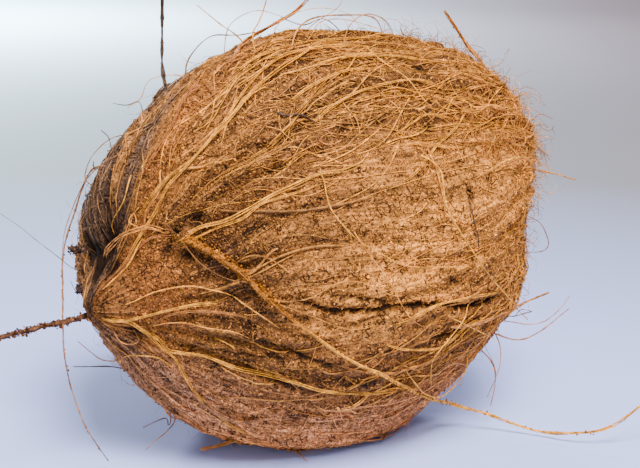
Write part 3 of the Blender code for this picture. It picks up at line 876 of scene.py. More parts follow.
def husk_material(look):
    """Coir and pith: colour zones, lengthwise streaks, grains of pith, painted light on the lower husk,
    and painted shade in hollows, pits, cracks, under strands, toward the beak and along the top.
    """
    material, tree, shader = new_material("coir_husk_surface")
    place = add_node(tree, "ShaderNodeTexCoord").outputs["Object"]
    lengthwise = attribute(tree, "grain").outputs["Vector"]
    zone = attribute(tree, "zone")
    zones = add_node(tree, "ShaderNodeSeparateColor", {0: zone.outputs["Color"]})
    form = attribute(tree, "form")
    # Channels of form: painted shade in hollows, the damp share, painted shade under strands; its alpha
    # is painted shade toward the beak and along the top
    hollow, damp, under = add_node(tree, "ShaderNodeSeparateColor", {0: form.outputs["Color"]}).outputs
    streaks = noise(tree, lengthwise, 620.0, 4.0, 0.65)
    fine_streaks = noise(tree, lengthwise, 1500.0, 2.0, 0.6)
    strips = noise(tree, lengthwise, 170.0, 2.0, 0.5)
    grains = noise(tree, place, 1500.0, 2.0, 0.7)
    clumps = noise(tree, place, 420.0, 3.0, 0.6)
    specks = noise(tree, place, 2700.0, 1.0, 0.5)
    patches = noise(tree, place, 85.0, 3.0, 0.55)
    cracks = crack_pattern(tree, place)
    broken = ranged(tree, noise(tree, place, 240.0, 2.0, 0.5), 0.47, 0.56, 0.0, 1.0)
    base = mixed(tree, ranged(tree, patches, 0.40, 0.62, 0.0, 1.0), look["tan"], look["light_tan"])
    base = mixed(tree, zone.outputs["Alpha"], base, look["pale"])
    # Reddish brown of the lower husk, painted brighter as light on its shaded underside
    base = mixed(tree, zones.outputs[2], base, look["reddish"])
    base = mixed(tree, zones.outputs[0], base, look["weathered"])
    base = mixed(tree, zones.outputs[1], base, look["pith"])
    base = mixed(tree, damp, base, look["damp"])
    # Painted shade under thick strands, in the damp colour
    base = mixed(tree, ranged(tree, under, 0.0, 1.0, 0.0, 0.72), base, look["damp"])
    # Painted shade toward the beak and along the top
    base = toned(tree, base, form.outputs["Alpha"], 0.0, 1.0, 1.0, 1.0 - PAINTED_SHADE_DEPTH)
    lined = toned(tree, base, streaks, 0.36, 0.66, 0.42, 1.62)
    lined = toned(tree, lined, fine_streaks, 0.35, 0.65, 0.58, 1.44)
    base = mixed(tree, ranged(tree, zones.outputs[1], 0.0, 1.0, 0.0, 0.8), lined, base)
    faint_strips = grey(tree, ranged(tree, strips, 0.38, 0.62, 0.85, 1.15))
    strong_strips = grey(tree, ranged(tree, strips, 0.40, 0.60, 0.45, 1.50))
    strip_tone = mixed(tree, zones.outputs[0], faint_strips, strong_strips)
    base = mixed(tree, 1.0, base, strip_tone, "MULTIPLY")
    base = toned(tree, base, clumps, 0.38, 0.64, 0.62, 1.35)
    base = mixed(tree, ranged(tree, grains, 0.60, 0.70, 0.0, 0.40), base, look["fleck"])
    # Painted shade: near-black in the pits between grains, in fine specks, in broken cracks and in the
    # hollows
    base = mixed(tree, ranged(tree, grains, 0.455, 0.37, 0.0, 0.92), base, look["crevice_shade"])
    base = mixed(tree, ranged(tree, specks, 0.40, 0.34, 0.0, 0.85), base, look["crevice_shade"])
    in_crack = product(tree, ranged(tree, cracks, 0.015, 0.06, 0.9, 0.0), broken)
    base = mixed(tree, in_crack, base, look["crevice_shade"])
    base = mixed(tree, hollow, base, look["crevice_shade"])
    tree.links.new(base, shader.inputs["Base Color"])
    tree.links.new(ranged(tree, grains, 0.3, 0.7, 0.95, 0.72), shader.inputs["Roughness"])
    shader.inputs["Specular IOR Level"].default_value = 0.12
    edge = ranged(tree, cracks, 0.0, 0.09, 0.0, 1.0)
    normal = bumped(tree, streaks, 0.9, 0.9 * MM)
    normal = bumped(tree, clumps, 0.9, 0.7 * MM, normal)
    normal = bumped(tree, edge, product(tree, broken, 0.8), 0.4 * MM, normal)
    normal = bumped(tree, grains, 0.8, 0.4 * MM, normal)
    tree.links.new(normal, shader.inputs["Normal"])
    return material


def strand_material(name, roughness=0.60, specular=0.16):
    """Single coir fibres: each has its own colour, mottled along it, with a slight gloss."""
    material, tree, shader = new_material(name)
    place = add_node(tree, "ShaderNodeTexCoord").outputs["Object"]
    tint = attribute(tree, "tint").outputs["Color"]
    mottle = noise(tree, place, 600.0, 3.0, 0.6)
    fine = noise(tree, place, 2600.0, 2.0, 0.6)
    base = toned(tree, tint, mottle, 0.35, 0.65, 0.50, 1.38)
    base = toned(tree, base, fine, 0.35, 0.65, 0.62, 1.36)
    tree.links.new(base, shader.inputs["Base Color"])
    shader.inputs["Roughness"].default_value = roughness
    shader.inputs["Specular IOR Level"].default_value = specular
    tree.links.new(bumped(tree, fine, 0.5, 0.1 * MM), shader.inputs["Normal"])
    return material


def floor_material(near, far, across):
    """A soft matt floor: one colour by the coconut and painted shade further off, faintly uneven.
    The far colour, painted darker than the near one, goes from the first to the second along a direction
    across the floor."""
    material, tree, shader = new_material("pale_floor")
    place = add_node(tree, "ShaderNodeTexCoord").outputs["Object"]
    distance = add_node(tree, "ShaderNodeVectorMath", {0: place}, operation="LENGTH")
    side = add_node(tree, "ShaderNodeVectorMath", {0: place, 1: across}, operation="DOT_PRODUCT")
    cloud = noise(tree, place, 3.0, 2.0, 0.5)
    rightward = ranged(tree, side.outputs["Value"], FAR_LEFT_AT, FAR_RIGHT_AT, 0.0, 1.0)
    further = mixed(tree, rightward, far[0], far[1])
    away = ranged(tree, distance.outputs["Value"], FAR_FLOOR_STARTS, FAR_FLOOR_ENDS, 0.0, 1.0)
    base = toned(tree, mixed(tree, away, near, further), cloud, 0.3, 0.7, 0.98, 1.02)
    tree.links.new(base, shader.inputs["Base Color"])
    shader.inputs["Roughness"].default_value = 0.8
    shader.inputs["Specular IOR Level"].default_value = 0.2
    return material


def looked_up(settings):
    """The husk's colours from the settings, each with full alpha."""
    return {name: (*getattr(settings, name), 1.0) for name in HUSK_COLOURS}


def opaque(colours):
    """Colours with full alpha."""
    return np.concatenate([colours, np.ones(colours.shape[:-1] + (1,))], axis=-1)


def place_colours(look, along, around, goldness):
    """The husk's colour at each place, drawn toward gold by a share, with painted light on the lower
    husk and painted shade in its hollows, toward the beak and along the top.
    """
    weathered, pithy, reddish, pale, damp = husk_zones(along, around)
    colour = np.empty(along.shape + (3,))
    colour[:] = look["light_tan"][:3]
    for share, name in ((pale, "pale"), (reddish, "reddish"), (weathered, "weathered"), (pithy, "pith"),
                        (0.7 * damp, "damp")):
        colour += (np.array(look[name][:3]) - colour) * share[..., None]
    gold_share = np.clip(goldness * (1.0 - 0.75 * weathered) * (1.0 - 0.45 * reddish), 0.0, 1.0)
    colour += (np.array(look["gold"][:3]) - colour) * gold_share[..., None]
    # Painted shade in the hollows, pits and crevices, and toward the beak and along the top
    light = (1.0 - 0.93 * dark_hollows(along, around)) * (1.0 - PAINTED_SHADE_DEPTH * beak_and_top_shade(along, around))
    return colour * light[..., None]


def strand_tints(look, along, around, draw, goldness, spread=0.42, brighter=-0.06):
    """Colours along strands, one row of places for each: the husk's colours where they lie, with their
    painted light and shade.

    Each strand is also lighter or darker than its neighbours, by a random factor."""
    colour = place_colours(look, along, around, goldness)
    factor = np.exp(np.clip(draw.normal(brighter, spread, len(along)), -1.6, 0.55))
    lightest = np.maximum(colour.reshape(len(along), -1).max(axis=1), 0.01)
    factor = np.minimum(factor, LIGHTEST_FIBRE / lightest)
    return opaque(colour * factor.reshape((-1,) + (1,) * (colour.ndim - 1)))


def husk_grid():
    """Angles of the husk's grid, its points, and the faces that close it with a fan at each end."""
    rows = np.linspace(FIRST_ROW, math.pi - FIRST_ROW, HUSK_ROWS)
    columns = np.arange(HUSK_COLUMNS) * (FULL_TURN / HUSK_COLUMNS)
    along, column = np.meshgrid(rows, columns, indexing="ij")
    along = np.concatenate([along.ravel(), [0.0, math.pi]])
    column = np.concatenate([column.ravel(), [0.0, 0.0]])
    index = np.arange(HUSK_ROWS * HUSK_COLUMNS).reshape(HUSK_ROWS, HUSK_COLUMNS)
    here = index[:-1].ravel()
    below = index[1:].ravel()
    beside = np.roll(index, -1, axis=1)[:-1].ravel()
    across = np.roll(index, -1, axis=1)[1:].ravel()
    beak = np.full(HUSK_COLUMNS, HUSK_ROWS * HUSK_COLUMNS)
    faces = [np.stack([here, beside, below], 1), np.stack([beside, across, below], 1),
             np.stack([beak, np.roll(index[0], -1), index[0]], 1),
             np.stack([beak + 1, index[-1], np.roll(index[-1], -1)], 1)]
    return along, column, np.concatenate(faces)


def build_husk(look):
    """The husk's own surface: the solid's form with fine coir relief, closed at both ends."""
    along, column, faces = husk_grid()
    around, height, fine = husk_height(along, column)
    points = shell_points(along, around, height)
    points[:, 2] = np.maximum(points[:, 2], 0.0)
    weathered, pithy, reddish, pale, damp = husk_zones(along, around)
    # Painted shade: darker where the fine relief sinks and in the hollows, pits and crevices; the form
    # attribute also holds the damp share, painted shade under strands, and painted shade toward the beak
    # and along the top
    hollow = np.clip((-fine / MM - 0.35) / 0.75, 0.0, 0.92)
    shaded = np.clip(hollow + 0.95 * dark_hollows(along, around), 0.0, 0.97)
    zone = np.stack([weathered, pithy, reddish, pale], axis=1)
    form = np.stack([shaded, damp, shade_under_strands(along, around), beak_and_top_shade(along, around)], axis=1)
    grain = np.stack([SHELL_RADIUS * np.cos(column), SHELL_RADIUS * np.sin(column),
                      along * SHELL_HALF_LENGTH / STREAK_STRETCH], axis=1)
    piece = new_piece("husk_surface", points, faces, husk_material(look),
                      {"zone": zone, "form": form}, {"grain": grain})
    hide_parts(NODE)
    return piece


def scatter(count, draw, density):
    """Places spread evenly over the husk, kept where a density allows, as angles."""
    along = np.zeros(0)
    column = np.zeros(0)
    while len(along) < count:
        new_along = np.arccos(draw.uniform(-0.985, 0.985, 4 * count))
        new_column = draw.uniform(0.0, FULL_TURN, 4 * count)
        keep = draw.random(4 * count) < density(new_along, new_column)
        along = np.concatenate([along, new_along[keep]])
        column = np.concatenate([column, new_column[keep]])
    return along[:count], column[:count]


def strand_density(along, column):
    """Strands lie thick along the upper broad face, the ridges and the low front, and thin on
    the pad, the lower husk and the middle of the broad face."""
    zones = husk_zones(along, column)
    upper = window(column, 4.0, 50.0, 16.0) * smooth_step((along - 0.75) / 0.4)
    lower = window(column, 98.0, 136.0, 12.0) * smooth_step((along - 0.9) / 0.4)
    blunt = smooth_step((along - 1.9) / 0.6)
    density = 0.20 + 0.70 * upper + 0.30 * lower + 0.12 * zones.weathered + 0.35 * blunt
    density = density - 0.08 * zones.reddish
    bare = 1.4 * bump(PAD, along, column, 1.5) + 0.9 * bump(HOLLOW, along, column, 1.2)
    bare = bare + 0.5 * zones.damp + 0.2 * zones.pale
    by_crevice = window(column, 92.0, 104.0, 8.0)
    bare = bare + (0.45 + 0.8 * by_crevice) * felted(along, column)
    return np.clip(density * (1.0 - np.clip(bare, 0.0, 0.96)), 0.0, 1.0)


def rib_density(along, column):
    """Ribs stand out most on the weathered face and the low front."""
    zones = husk_zones(along, column)
    low_front = window(column, 92.0, 140.0, 16.0)
    density = 0.30 + 0.60 * zones.weathered + 0.10 * low_front - 0.15 * zones.reddish
    bare = 1.5 * bump(PAD, along, column, 1.5) + bump(HOLLOW, along, column)
    bare = bare + 0.92 * felted(along, column)
    return np.clip(density * (1.0 - np.clip(bare, 0.0, 1.0)), 0.0, 1.0)


def lying_paths(count, draw, density, stations, lengths, lifts, spread):
    """Strands that follow the bundles over the husk, with a slow sideways wander.

    Along and across grow evenly with the distance gone, and the height is a base plus an arch,
    sunk at both ends so that no strand floats."""
    along, column = scatter(count, draw, density)
    length = np.exp(draw.uniform(math.log(lengths[0]), math.log(lengths[1]), count))
    heading = draw.normal(0.0, spread, count) + math.pi * draw.integers(0, 2, count)
    part = np.linspace(0.0, 1.0, stations)[None, :] - 0.5
    wander = draw.normal(0.0, 0.05, (count, 1)) * length[:, None]
    phase = draw.uniform(0.0, FULL_TURN, (count, 1))
    waves = draw.uniform(0.5, 1.6, (count, 1))
    curve = draw.normal(0.0, 0.22, (count, 1)) * (4.0 * part ** 2 - 1.0)
    forward = length[:, None] * part
    sideways = 0.9 * wander * np.sin(FULL_TURN * waves * part + phase) + 0.25 * curve * length[:, None]
    run_along = forward * np.cos(heading)[:, None] - sideways * np.sin(heading)[:, None]
    run_across = forward * np.sin(heading)[:, None] + sideways * np.cos(heading)[:, None]
    at_along = np.clip(along[:, None] + run_along / SHELL_HALF_LENGTH, 0.06, math.pi - 0.06)
    girth = SHELL_RADIUS * np.maximum(np.sin(at_along), 0.25)
    at_column = column[:, None] + run_across / girth
    base = draw.uniform(lifts[0], lifts[1], (count, 1))
    arch = np.where(draw.random((count, 1)) < 0.22, draw.uniform(0.3, 1.1, (count, 1)), 0.10)
    ends = smooth_step((0.5 - np.abs(part)) / 0.10)
    lift = (base + arch * np.cos(math.pi * part)) * ends - 0.35 * (1.0 - ends)
    points, around = husk_points(at_along, at_column, lift * MM)
    return points, at_along, around


def taper(stations, tip=0.35, blunt=0.12):
    """Thickness along a rod as a part of its full one: full in the middle, thin at both ends."""
    part = np.linspace(0.0, 1.0, stations)
    return tip + (1.0 - tip) * smooth_step(np.minimum(part, 1.0 - part) / blunt)


def build_strands(look, name, count, seed, density, thickness, lengths, lifts, spread, goldness,
                  stations, flat=1.0):
    """One layer of coir strands lying over the husk. A few are clean and golden, most are not.

    Half thicknesses and lifts above the husk are in mm, lengths in metres. Each strand heads
    along the husk, off by a random normal angle with the given spread."""
    draw = np.random.default_rng(seed)
    paths, along, around = lying_paths(count, draw, density, stations, lengths, lifts, spread)
    half = draw.uniform(thickness[0], thickness[1], (count, 1)) * MM * taper(stations)[None, :]
    half = half * np.exp(draw.normal(0.0, 0.14, (count, stations)))
    points, faces = rods(paths, half, STRAND_SIDES, flat)
    share = goldness * (0.25 + 0.75 * draw.random((count, 1)) ** 2.2)
    tints = per_corner(strand_tints(look, along, around, draw, share), STRAND_SIDES)
    return new_piece(name, points, faces, strand_material(name), {"tint": tints})


def free_paths(count, draw, density, stations, length, steep, curl, sunk=0.6):
    """Hairs that leave the husk: a straight run, a lift that grows with the distance gone, and
    a curl that swings sideways and up by a sine of it."""
    along, column = scatter(count, draw, density)
    step = 0.02
    root, around = husk_points(along, column, np.full(count, -sunk * MM))
    ahead, _ = husk_points(np.clip(along + step, 0.0, math.pi), column, np.full(count, -sunk * MM))
    lengthwise = unit(ahead - root)
    outward = unit(root - CENTRE)
    outward = unit(outward - lengthwise * np.sum(outward * lengthwise, axis=1, keepdims=True))
    across = np.cross(lengthwise, outward)
    heading = draw.normal(0.0, 0.8, count) + math.pi * draw.integers(0, 2, count)
    forward = lengthwise * np.cos(heading)[:, None] + across * np.sin(heading)[:, None]
    aside = np.cross(outward, forward)
    reach = draw.uniform(length[0], length[1], (count, 1, 1)) * MM
    slope = draw.uniform(steep[0], steep[1], (count, 1, 1))
    part = np.linspace(0.0, 1.0, stations)[None, :, None]
    swing = draw.normal(0.0, curl, (count, 1, 1))
    turns = draw.uniform(1.0, 4.5, (count, 1, 1))
    start = draw.uniform(0.0, FULL_TURN, (count, 1, 1))
    run = part * np.cos(slope) * forward[:, None, :]
    lift = part ** 0.8 * np.sin(slope) * outward[:, None, :]
    angle = turns * part * 3.0 + start
    curl_side = swing * part * (np.sin(angle) - np.sin(start)) * aside[:, None, :]
    curl_up = 0.6 * swing * part * (np.cos(angle) - np.cos(start)) * outward[:, None, :]
    paths = root[:, None, :] + reach * (run + lift + curl_side + curl_up)
    paths[..., 2] = np.maximum(paths[..., 2], 0.3 * MM)
    return paths, along, around


def frizz_density(along, column):
    """Loose hairs grow all over, most on the ridges and the upper side."""
    upper = window(column, -100.0, 70.0, 30.0)
    on_ridge = sum(window(column, *ridge) for ridge in FRIZZY_RIDGES)
    return np.clip(0.35 + 0.25 * upper + 0.35 * on_ridge, 0.0, 1.0)


def mat_density(along, column):
    """The frayed mat covers the top of the blunt end and thins out round it."""
    return np.clip(bump(MAT, along, column, 1.05) + 0.25 * smooth_step((along - 2.3) / 0.5), 0.0, 1.0)


def build_free_hairs(look, name, count, seed, density, thickness, length, steep, curl, goldness,
                     stations=11):
    """A coat of hairs that stand off the husk: half thicknesses and lengths in mm, and the
    angle at which they leave it in radians."""
    draw = np.random.default_rng(seed)
    paths, along, around = free_paths(count, draw, density, stations, length, steep, curl)
    part = np.linspace(0.0, 1.0, stations)[None, :]
    half = draw.uniform(thickness[0], thickness[1], (count, 1)) * MM * (1.0 - 0.6 * part)
    points, faces = rods(paths, half, STRAND_SIDES)
    tints = strand_tints(look, along, around, draw, goldness * draw.random(count))
    tints = per_corner(np.repeat(tints, stations, axis=0), STRAND_SIDES)
    return new_piece(name, points, faces, strand_material(name), {"tint": tints})


def crumb_density(along, column):
    """Crumbs of pith gather on the pad, by the knob, along the ridges and on the broad face."""
    zones = husk_zones(along, column)
    broad = window(column, 10.0, 150.0, 16.0) * (1.0 - 0.6 * felted(along, column))
    density = 0.16 + 0.70 * zones.pithy + 0.55 * zones.damp + 0.30 * broad - 0.06 * zones.weathered
    return np.clip(density, 0.0, 1.0)


def crumb_bodies(centres, kind, size, draw):
    """Small many-sided bodies at many places, each stretched, bent and turned its own way.

    A crumb's axes are three random directions at right angles, and its size is drawn evenly on
    a logarithmic scale."""
    corners, sides = kind
    count = len(centres)
    stretch = np.exp(draw.normal(0.0, 0.35, (count, 1, 3)))
    uneven = 1.0 + draw.uniform(-0.35, 0.35, (count, len(corners), 3))
    first = unit(draw.normal(size=(count, 3)))
    second = unit(np.cross(first, draw.normal(size=(count, 3))))
    third = np.cross(first, second)
    axes = np.stack([first, second, third], axis=1)
    scale = np.exp(draw.uniform(math.log(size[0]), math.log(size[1]), (count, 1, 1))) * MM
    points = centres[:, None, :] + (corners[None] * stretch * uneven * scale) @ axes
    points[..., 2] = np.maximum(points[..., 2], 0.1 * MM)
    faces = sides[None] + (np.arange(count) * len(corners))[:, None, None]
    return points.reshape(-1, 3), faces.reshape(-1, 3)


def build_crumbs(look, name, count, seed, kind, size, lifts):
    """Crumbs of pith scattered over the husk, where it is crumbly."""
    draw = np.random.default_rng(seed)
    along, column = scatter(count, draw, crumb_density)
    centres, around = husk_points(along, column, draw.uniform(lifts[0], lifts[1], count) * MM)
    points, faces = crumb_bodies(centres, kind, size, draw)
    goldness = 0.25 * draw.random(count)
    tints = strand_tints(look, along, around, draw, goldness, spread=0.50, brighter=-0.20)
    material = strand_material(name, roughness=0.9, specular=0.12)
    return new_piece(name, points, faces, material, {"tint": np.repeat(tints, len(kind[0]), axis=0)})


def route_corners(stops):
    """The points of a listed route, from degrees along, degrees around and mm above the husk."""
    stops = np.array(stops, float)
    return shell_points(np.radians(stops[:, 0]), np.radians(stops[:, 1]), stops[:, 2] * MM)


def laid_corners(stops):
    """The points of a listed route over the finished husk, with its relief."""
    stops = np.array(stops, float)
    return husk_points(np.radians(stops[:, 0]), np.radians(stops[:, 1]), stops[:, 2] * MM)[0]


def twisted(route, distance, filaments, turns_per_metre, draw):
    """Filaments wound round a route: each keeps a distance off it, at an angle that grows as it
    goes on, and strays a little by a slow random wave."""
    tangents = unit(np.gradient(route, axis=0))
    side = unit(np.cross(tangents, unit(route - CENTRE)))
    other = np.cross(tangents, side)
    travelled = distance_gone(route)
    paths = []
    for number in range(filaments):
        phase = FULL_TURN * number / filaments
        angle = phase + FULL_TURN * turns_per_metre * travelled
        waver = 1.0 + 0.45 * np.sin(travelled * draw.uniform(120.0, 420.0) + draw.uniform(0.0, 6.0))
        off = (distance * waver)[:, None]
        paths.append(route + off * (np.cos(angle)[:, None] * side + np.sin(angle)[:, None] * other))
    return np.stack(paths)


def fibre_bundle(look, route, half, colour, draw, filaments, turns_per_metre=30.0, knobs=0.16,
                 loose=0.55, thin=0.62, covered=0.0):
    """Points, faces and tints of one coarse fibre, made of wound filaments that end thin.

    Each filament's distance from the route and thickness are parts of the fibre's own. Its
    thickness falls with the square of the way gone and swells and shrinks by a sine and a
    random part. A first part of the fibre may be covered, in the colour of the root."""
    paths = twisted(route, half * loose, filaments, turns_per_metre, draw)
    paths[..., 2] = np.maximum(paths[..., 2], 0.5 * MM)
    stations = paths.shape[1]
    part = np.linspace(0.0, 1.0, stations)
    half = half * (thin if filaments > 1 else 1.0)
    waves = np.sin(part * stations * draw.uniform(0.5, 1.1) + draw.uniform(0.0, 6.0))
    knobbly = 1.0 + knobs * (waves + 0.8 * draw.uniform(-1.0, 1.0, stations))
    radii = np.tile(half * knobbly * (1.0 - 0.45 * part ** 2), (filaments, 1))
    points, faces = rods(paths, radii, FIBRE_SIDES)
    bare = smooth_step((part - covered) / 0.10)[:, None] if covered else 1.0
    tone = np.array(look["root"][:3]) * (1.0 - bare) + np.array(look[colour][:3]) * bare
    tone = tone * np.exp(draw.normal(0.0, 0.12, (filaments, stations, 1)))
    return points, faces, per_corner(opaque(np.minimum(tone, LIGHTEST_FIBRE)), FIBRE_SIDES)


def gathered(bundles):
    """Several bundles as one set of points, faces and tints."""
    points, faces, tints = [], [], []
    start = 0
    for some_points, some_faces, some_tints in bundles:
        points.append(some_points)
        faces.append(some_faces + start)
        tints.append(some_tints)
        start += len(some_points)
    return np.concatenate(points), np.concatenate(faces), np.concatenate(tints)


def stray_look(look):
    """The colours that a listed fibre may have: the husk's own, and shares of them."""
    colours = dict(look)
    for name, (base, shares) in FIBRE_COLOURS.items():
        colours[name] = (*(share * part for share, part in zip(shares, look[base])), 1.0)
    return colours


def build_stray_fibres(look, seed):
    """The long stray fibres of the solid, each as filaments wound along the same route."""
    draw = np.random.default_rng(seed)
    colours = stray_look(look)
    bundles = []
    for name, (half, colour, stops) in STRAYS.items():
        route = smooth_route(route_corners(stops), STRAY_STEP)
        route[:, 2] = np.maximum(route[:, 2], FLOOR_CLEARANCE)
        winding = {"turns_per_metre": 22.0, "knobs": 0.16}
        if colour in ("dark", "bark"):
            winding = {"turns_per_metre": 6.0, "knobs": 0.40}
        bundles.append(fibre_bundle(colours, route, half * MM, colour, draw, 3 if half > 0.4 else 1,
                                    covered=COVERED.get(name, 0.0), **winding))
    points, faces, tints = gathered(bundles)
    return new_piece("stray_fibres", points, faces, strand_material("stray_fibres"), {"tint": tints})


def coarse_routes():
    """Routes of the solid's coarse fibres: even steps of a spiral over the husk, each rooted in
    it, arched over it and diving back in or ending free."""
    draw = np.random.default_rng(FIBRE_SEED)
    for number in range(COARSE_FIBRES):
        along = math.acos(1.0 - 2.0 * (number + 0.8) / (COARSE_FIBRES + 0.6))
        around = number * GOLDEN_TURN + 0.5
        heading = draw.uniform(-0.7, 0.7) + math.pi * draw.integers(0, 2)
        reach = draw.uniform(0.30, 0.52)
        rise = draw.uniform(0.003, 0.007)
        dives_back = draw.random() < 0.45
        ends_at = -ROOT_DEPTH if dives_back else draw.uniform(0.004, 0.009)
        lifts = (-ROOT_DEPTH, 0.4 * rise, 0.8 * rise, rise, 0.7 * rise, ends_at)
        corners = []
        for part, lift in zip((0.0, 0.16, 0.36, 0.58, 0.80, 1.0), lifts):
            bend = heading + 0.8 * (part - 0.5)
            at_along = np.clip(along + reach * part * math.cos(bend), 0.12, math.pi - 0.12)
            at_around = around + reach * part * math.sin(bend) / max(math.sin(at_along), 0.35)
            corner = shell_points(np.array([at_along]), np.array([at_around]), np.array([lift]))
            corners.append(corner[0])
        yield smooth_route(corners, ROUTE_STEP)


def build_coarse_fibres(look, seed):
    """The solid's coarse fibres, each as two filaments wound along the same route."""
    draw = np.random.default_rng(seed)
    colours = stray_look(look)
    bundles = []
    for route in coarse_routes():
        route[:, 2] = np.maximum(route[:, 2], FLOOR_CLEARANCE)
        colour = ("gold", "tan", "brown", "brown")[int(draw.integers(0, 4))]
        bundles.append(fibre_bundle(colours, route, draw.uniform(0.13, 0.21) * MM, colour, draw, 2))
    points, faces, tints = gathered(bundles)
    return new_piece("coarse_fibres", points, faces, strand_material("coarse_fibres"), {"tint": tints})


def build_clinging_crumbs(look, seed):
    """Crumbs that cling to some fibres: places drawn along each route, most of them near its
    root, and moved off it by a random normal distance."""
    draw = np.random.default_rng(seed)
    colours = stray_look(look)
    laid = {**LAID_STRANDS, **HAIRS}
    bundles = []
    for name, colour, count, reach, crowding, size in CLINGING:
        corners = laid_corners(laid[name][2]) if name in laid else route_corners(STRAYS[name][2])
        route = smooth_route(corners, CRUMB_STEP)
        at = route[(draw.random(count) ** crowding * (len(route) - 1)).astype(int)]
        centres = at + draw.normal(0.0, 0.6 * reach * MM, (count, 3))
        points, faces = crumb_bodies(centres, LUMP, size, draw)
        tone = np.array(colours[colour][:3]) * np.exp(draw.normal(-0.1, 0.45, (count, 1)))
        tone = opaque(np.minimum(tone, LIGHTEST_CRUMB))
        bundles.append((points, faces, np.repeat(tone, len(LUMP[0]), axis=0)))
    points, faces, tints = gathered(bundles)
    material = strand_material("clinging_crumbs", roughness=0.9, specular=0.12)
    return new_piece("clinging_crumbs", points, faces, material, {"tint": tints})


def build_laid_strands(look, seed):
    """The strands laid on the husk, each a small sheaf of filaments, and the thin hairs."""
    draw = np.random.default_rng(seed)
    colours = stray_look(look)
    bundles = []
    for half, colour, stops in LAID_STRANDS.values():
        route = smooth_route(laid_corners(stops), ROUTE_STEP)
        winding = {"filaments": 4, "turns_per_metre": 9.0, "loose": 1.25, "thin": 0.46}
        if half > 0.6:
            winding = {"filaments": 5, "turns_per_metre": 14.0, "knobs": 0.35, "thin": 0.55}
        bundles.append(fibre_bundle(colours, route, half * MM, colour, draw, **winding))
    for half, colour, stops in HAIRS.values():
        route = smooth_route(laid_corners(stops), ROUTE_STEP)
        bundles.append(fibre_bundle(colours, route, half * MM, colour, draw, 1))
    points, faces, tints = gathered(bundles)
    return new_piece("laid_strands", points, faces, strand_material("laid_strands"), {"tint": tints})


def build_floor(near, far, across):
    """A pale floor that turns up into a wall all round: a profile, flat and then a quarter
    circle, carried round the middle."""
    flat = np.linspace(0.0, FLOOR_RADIUS, PROFILE_POINTS)
    bend = np.linspace(0.0, 0.25 * FULL_TURN, PROFILE_POINTS)[1:]
    radius = np.concatenate([flat, FLOOR_RADIUS + WALL_BEND * np.sin(bend)])
    height = np.concatenate([np.zeros(PROFILE_POINTS), WALL_BEND * (1.0 - np.cos(bend))])
    turn = np.arange(FLOOR_TURNS) * (FULL_TURN / FLOOR_TURNS)
    points = np.stack([radius[1:, None] * np.cos(turn), radius[1:, None] * np.sin(turn),
                       np.repeat(height[1:, None], FLOOR_TURNS, axis=1)], axis=-1).reshape(-1, 3)
    points = np.concatenate([points, [[0.0, 0.0, 0.0]]])
    index = np.arange((len(radius) - 1) * FLOOR_TURNS).reshape(-1, FLOOR_TURNS)
    beside = np.roll(index, -1, axis=1)
    faces = np.concatenate([
        np.stack([index[:-1].ravel(), index[1:].ravel(), beside[1:].ravel()], 1),
        np.stack([index[:-1].ravel(), beside[1:].ravel(), beside[:-1].ravel()], 1),
        np.stack([np.full(FLOOR_TURNS, len(points) - 1), index[0], beside[0]], 1)])
    mesh = bpy.data.meshes.new("floor")
    mesh.from_pydata(points.tolist(), [], faces.tolist())
    mesh.shade_smooth()
    mesh.materials.append(floor_material(near, far, across))
    floor = bpy.data.objects.new("floor", mesh)
    bpy.context.scene.collection.objects.link(floor)
    return floor


def toward_camera():
    """The direction from the coconut to the camera."""
    level = math.cos(CAMERA_ELEVATION)
    return np.array([math.sin(CAMERA_AZIMUTH) * level, -math.cos(CAMERA_AZIMUTH) * level,
                     math.sin(CAMERA_ELEVATION)])


def level_directions():
    """The level directions toward the camera and to its right."""
    back = toward_camera()
    level = math.hypot(back[0], back[1])
    return np.array([back[0], back[1], 0.0]) / level, np.array([-back[1], back[0], 0.0]) / level


def from_coconut(place):
    """A point so far toward the camera, to its right and up from the middle of the shell."""
    toward, right = level_directions()
    return CENTRE + place[0] * toward + place[1] * right + place[2] * np.array([0.0, 0.0, 1.0])


def add_light(name, place, aim, size, power, colour):
    """A soft square light at a place, aimed at another."""
    lamp = bpy.data.lights.new(name, "AREA")
    lamp.shape = "SQUARE"
    lamp.size = size
    lamp.energy = power
    lamp.color = colour
    light = bpy.data.objects.new(name, lamp)
    light.location = place
    light.rotation_mode = "QUATERNION"
    light.rotation_quaternion = Vector(aim - place).to_track_quat("-Z", "Y")
    light.visible_camera = False
    bpy.context.scene.collection.objects.link(light)
    return light


def add_camera():
    """The camera at the photograph's angle, aimed at the middle of the shell."""
    data = bpy.data.cameras.new("camera")
    data.lens = CAMERA_LENS
    data.sensor_width = CAMERA_SENSOR
    data.shift_x = CAMERA_SHIFT
    data.clip_start = 0.01
    data.clip_end = 20.0
    camera = bpy.data.objects.new("camera", data)
    camera.location = CENTRE + toward_camera() * CAMERA_DISTANCE
    camera.rotation_mode = "QUATERNION"
    level = Vector(-toward_camera()).to_track_quat("-Z", "Y")
    camera.rotation_quaternion = level @ Quaternion((0.0, 0.0, 1.0), CAMERA_ROLL)
    bpy.context.scene.collection.objects.link(camera)
    bpy.context.scene.camera = camera
    return camera


def set_world(colour, strength):
    """An even pale sky."""
    world = bpy.data.worlds.new("pale_sky")
    world.use_nodes = True
    background = world.node_tree.nodes["Background"]
    background.inputs["Color"].default_value = (*colour, 1.0)
    background.inputs["Strength"].default_value = strength
    bpy.context.scene.world = world


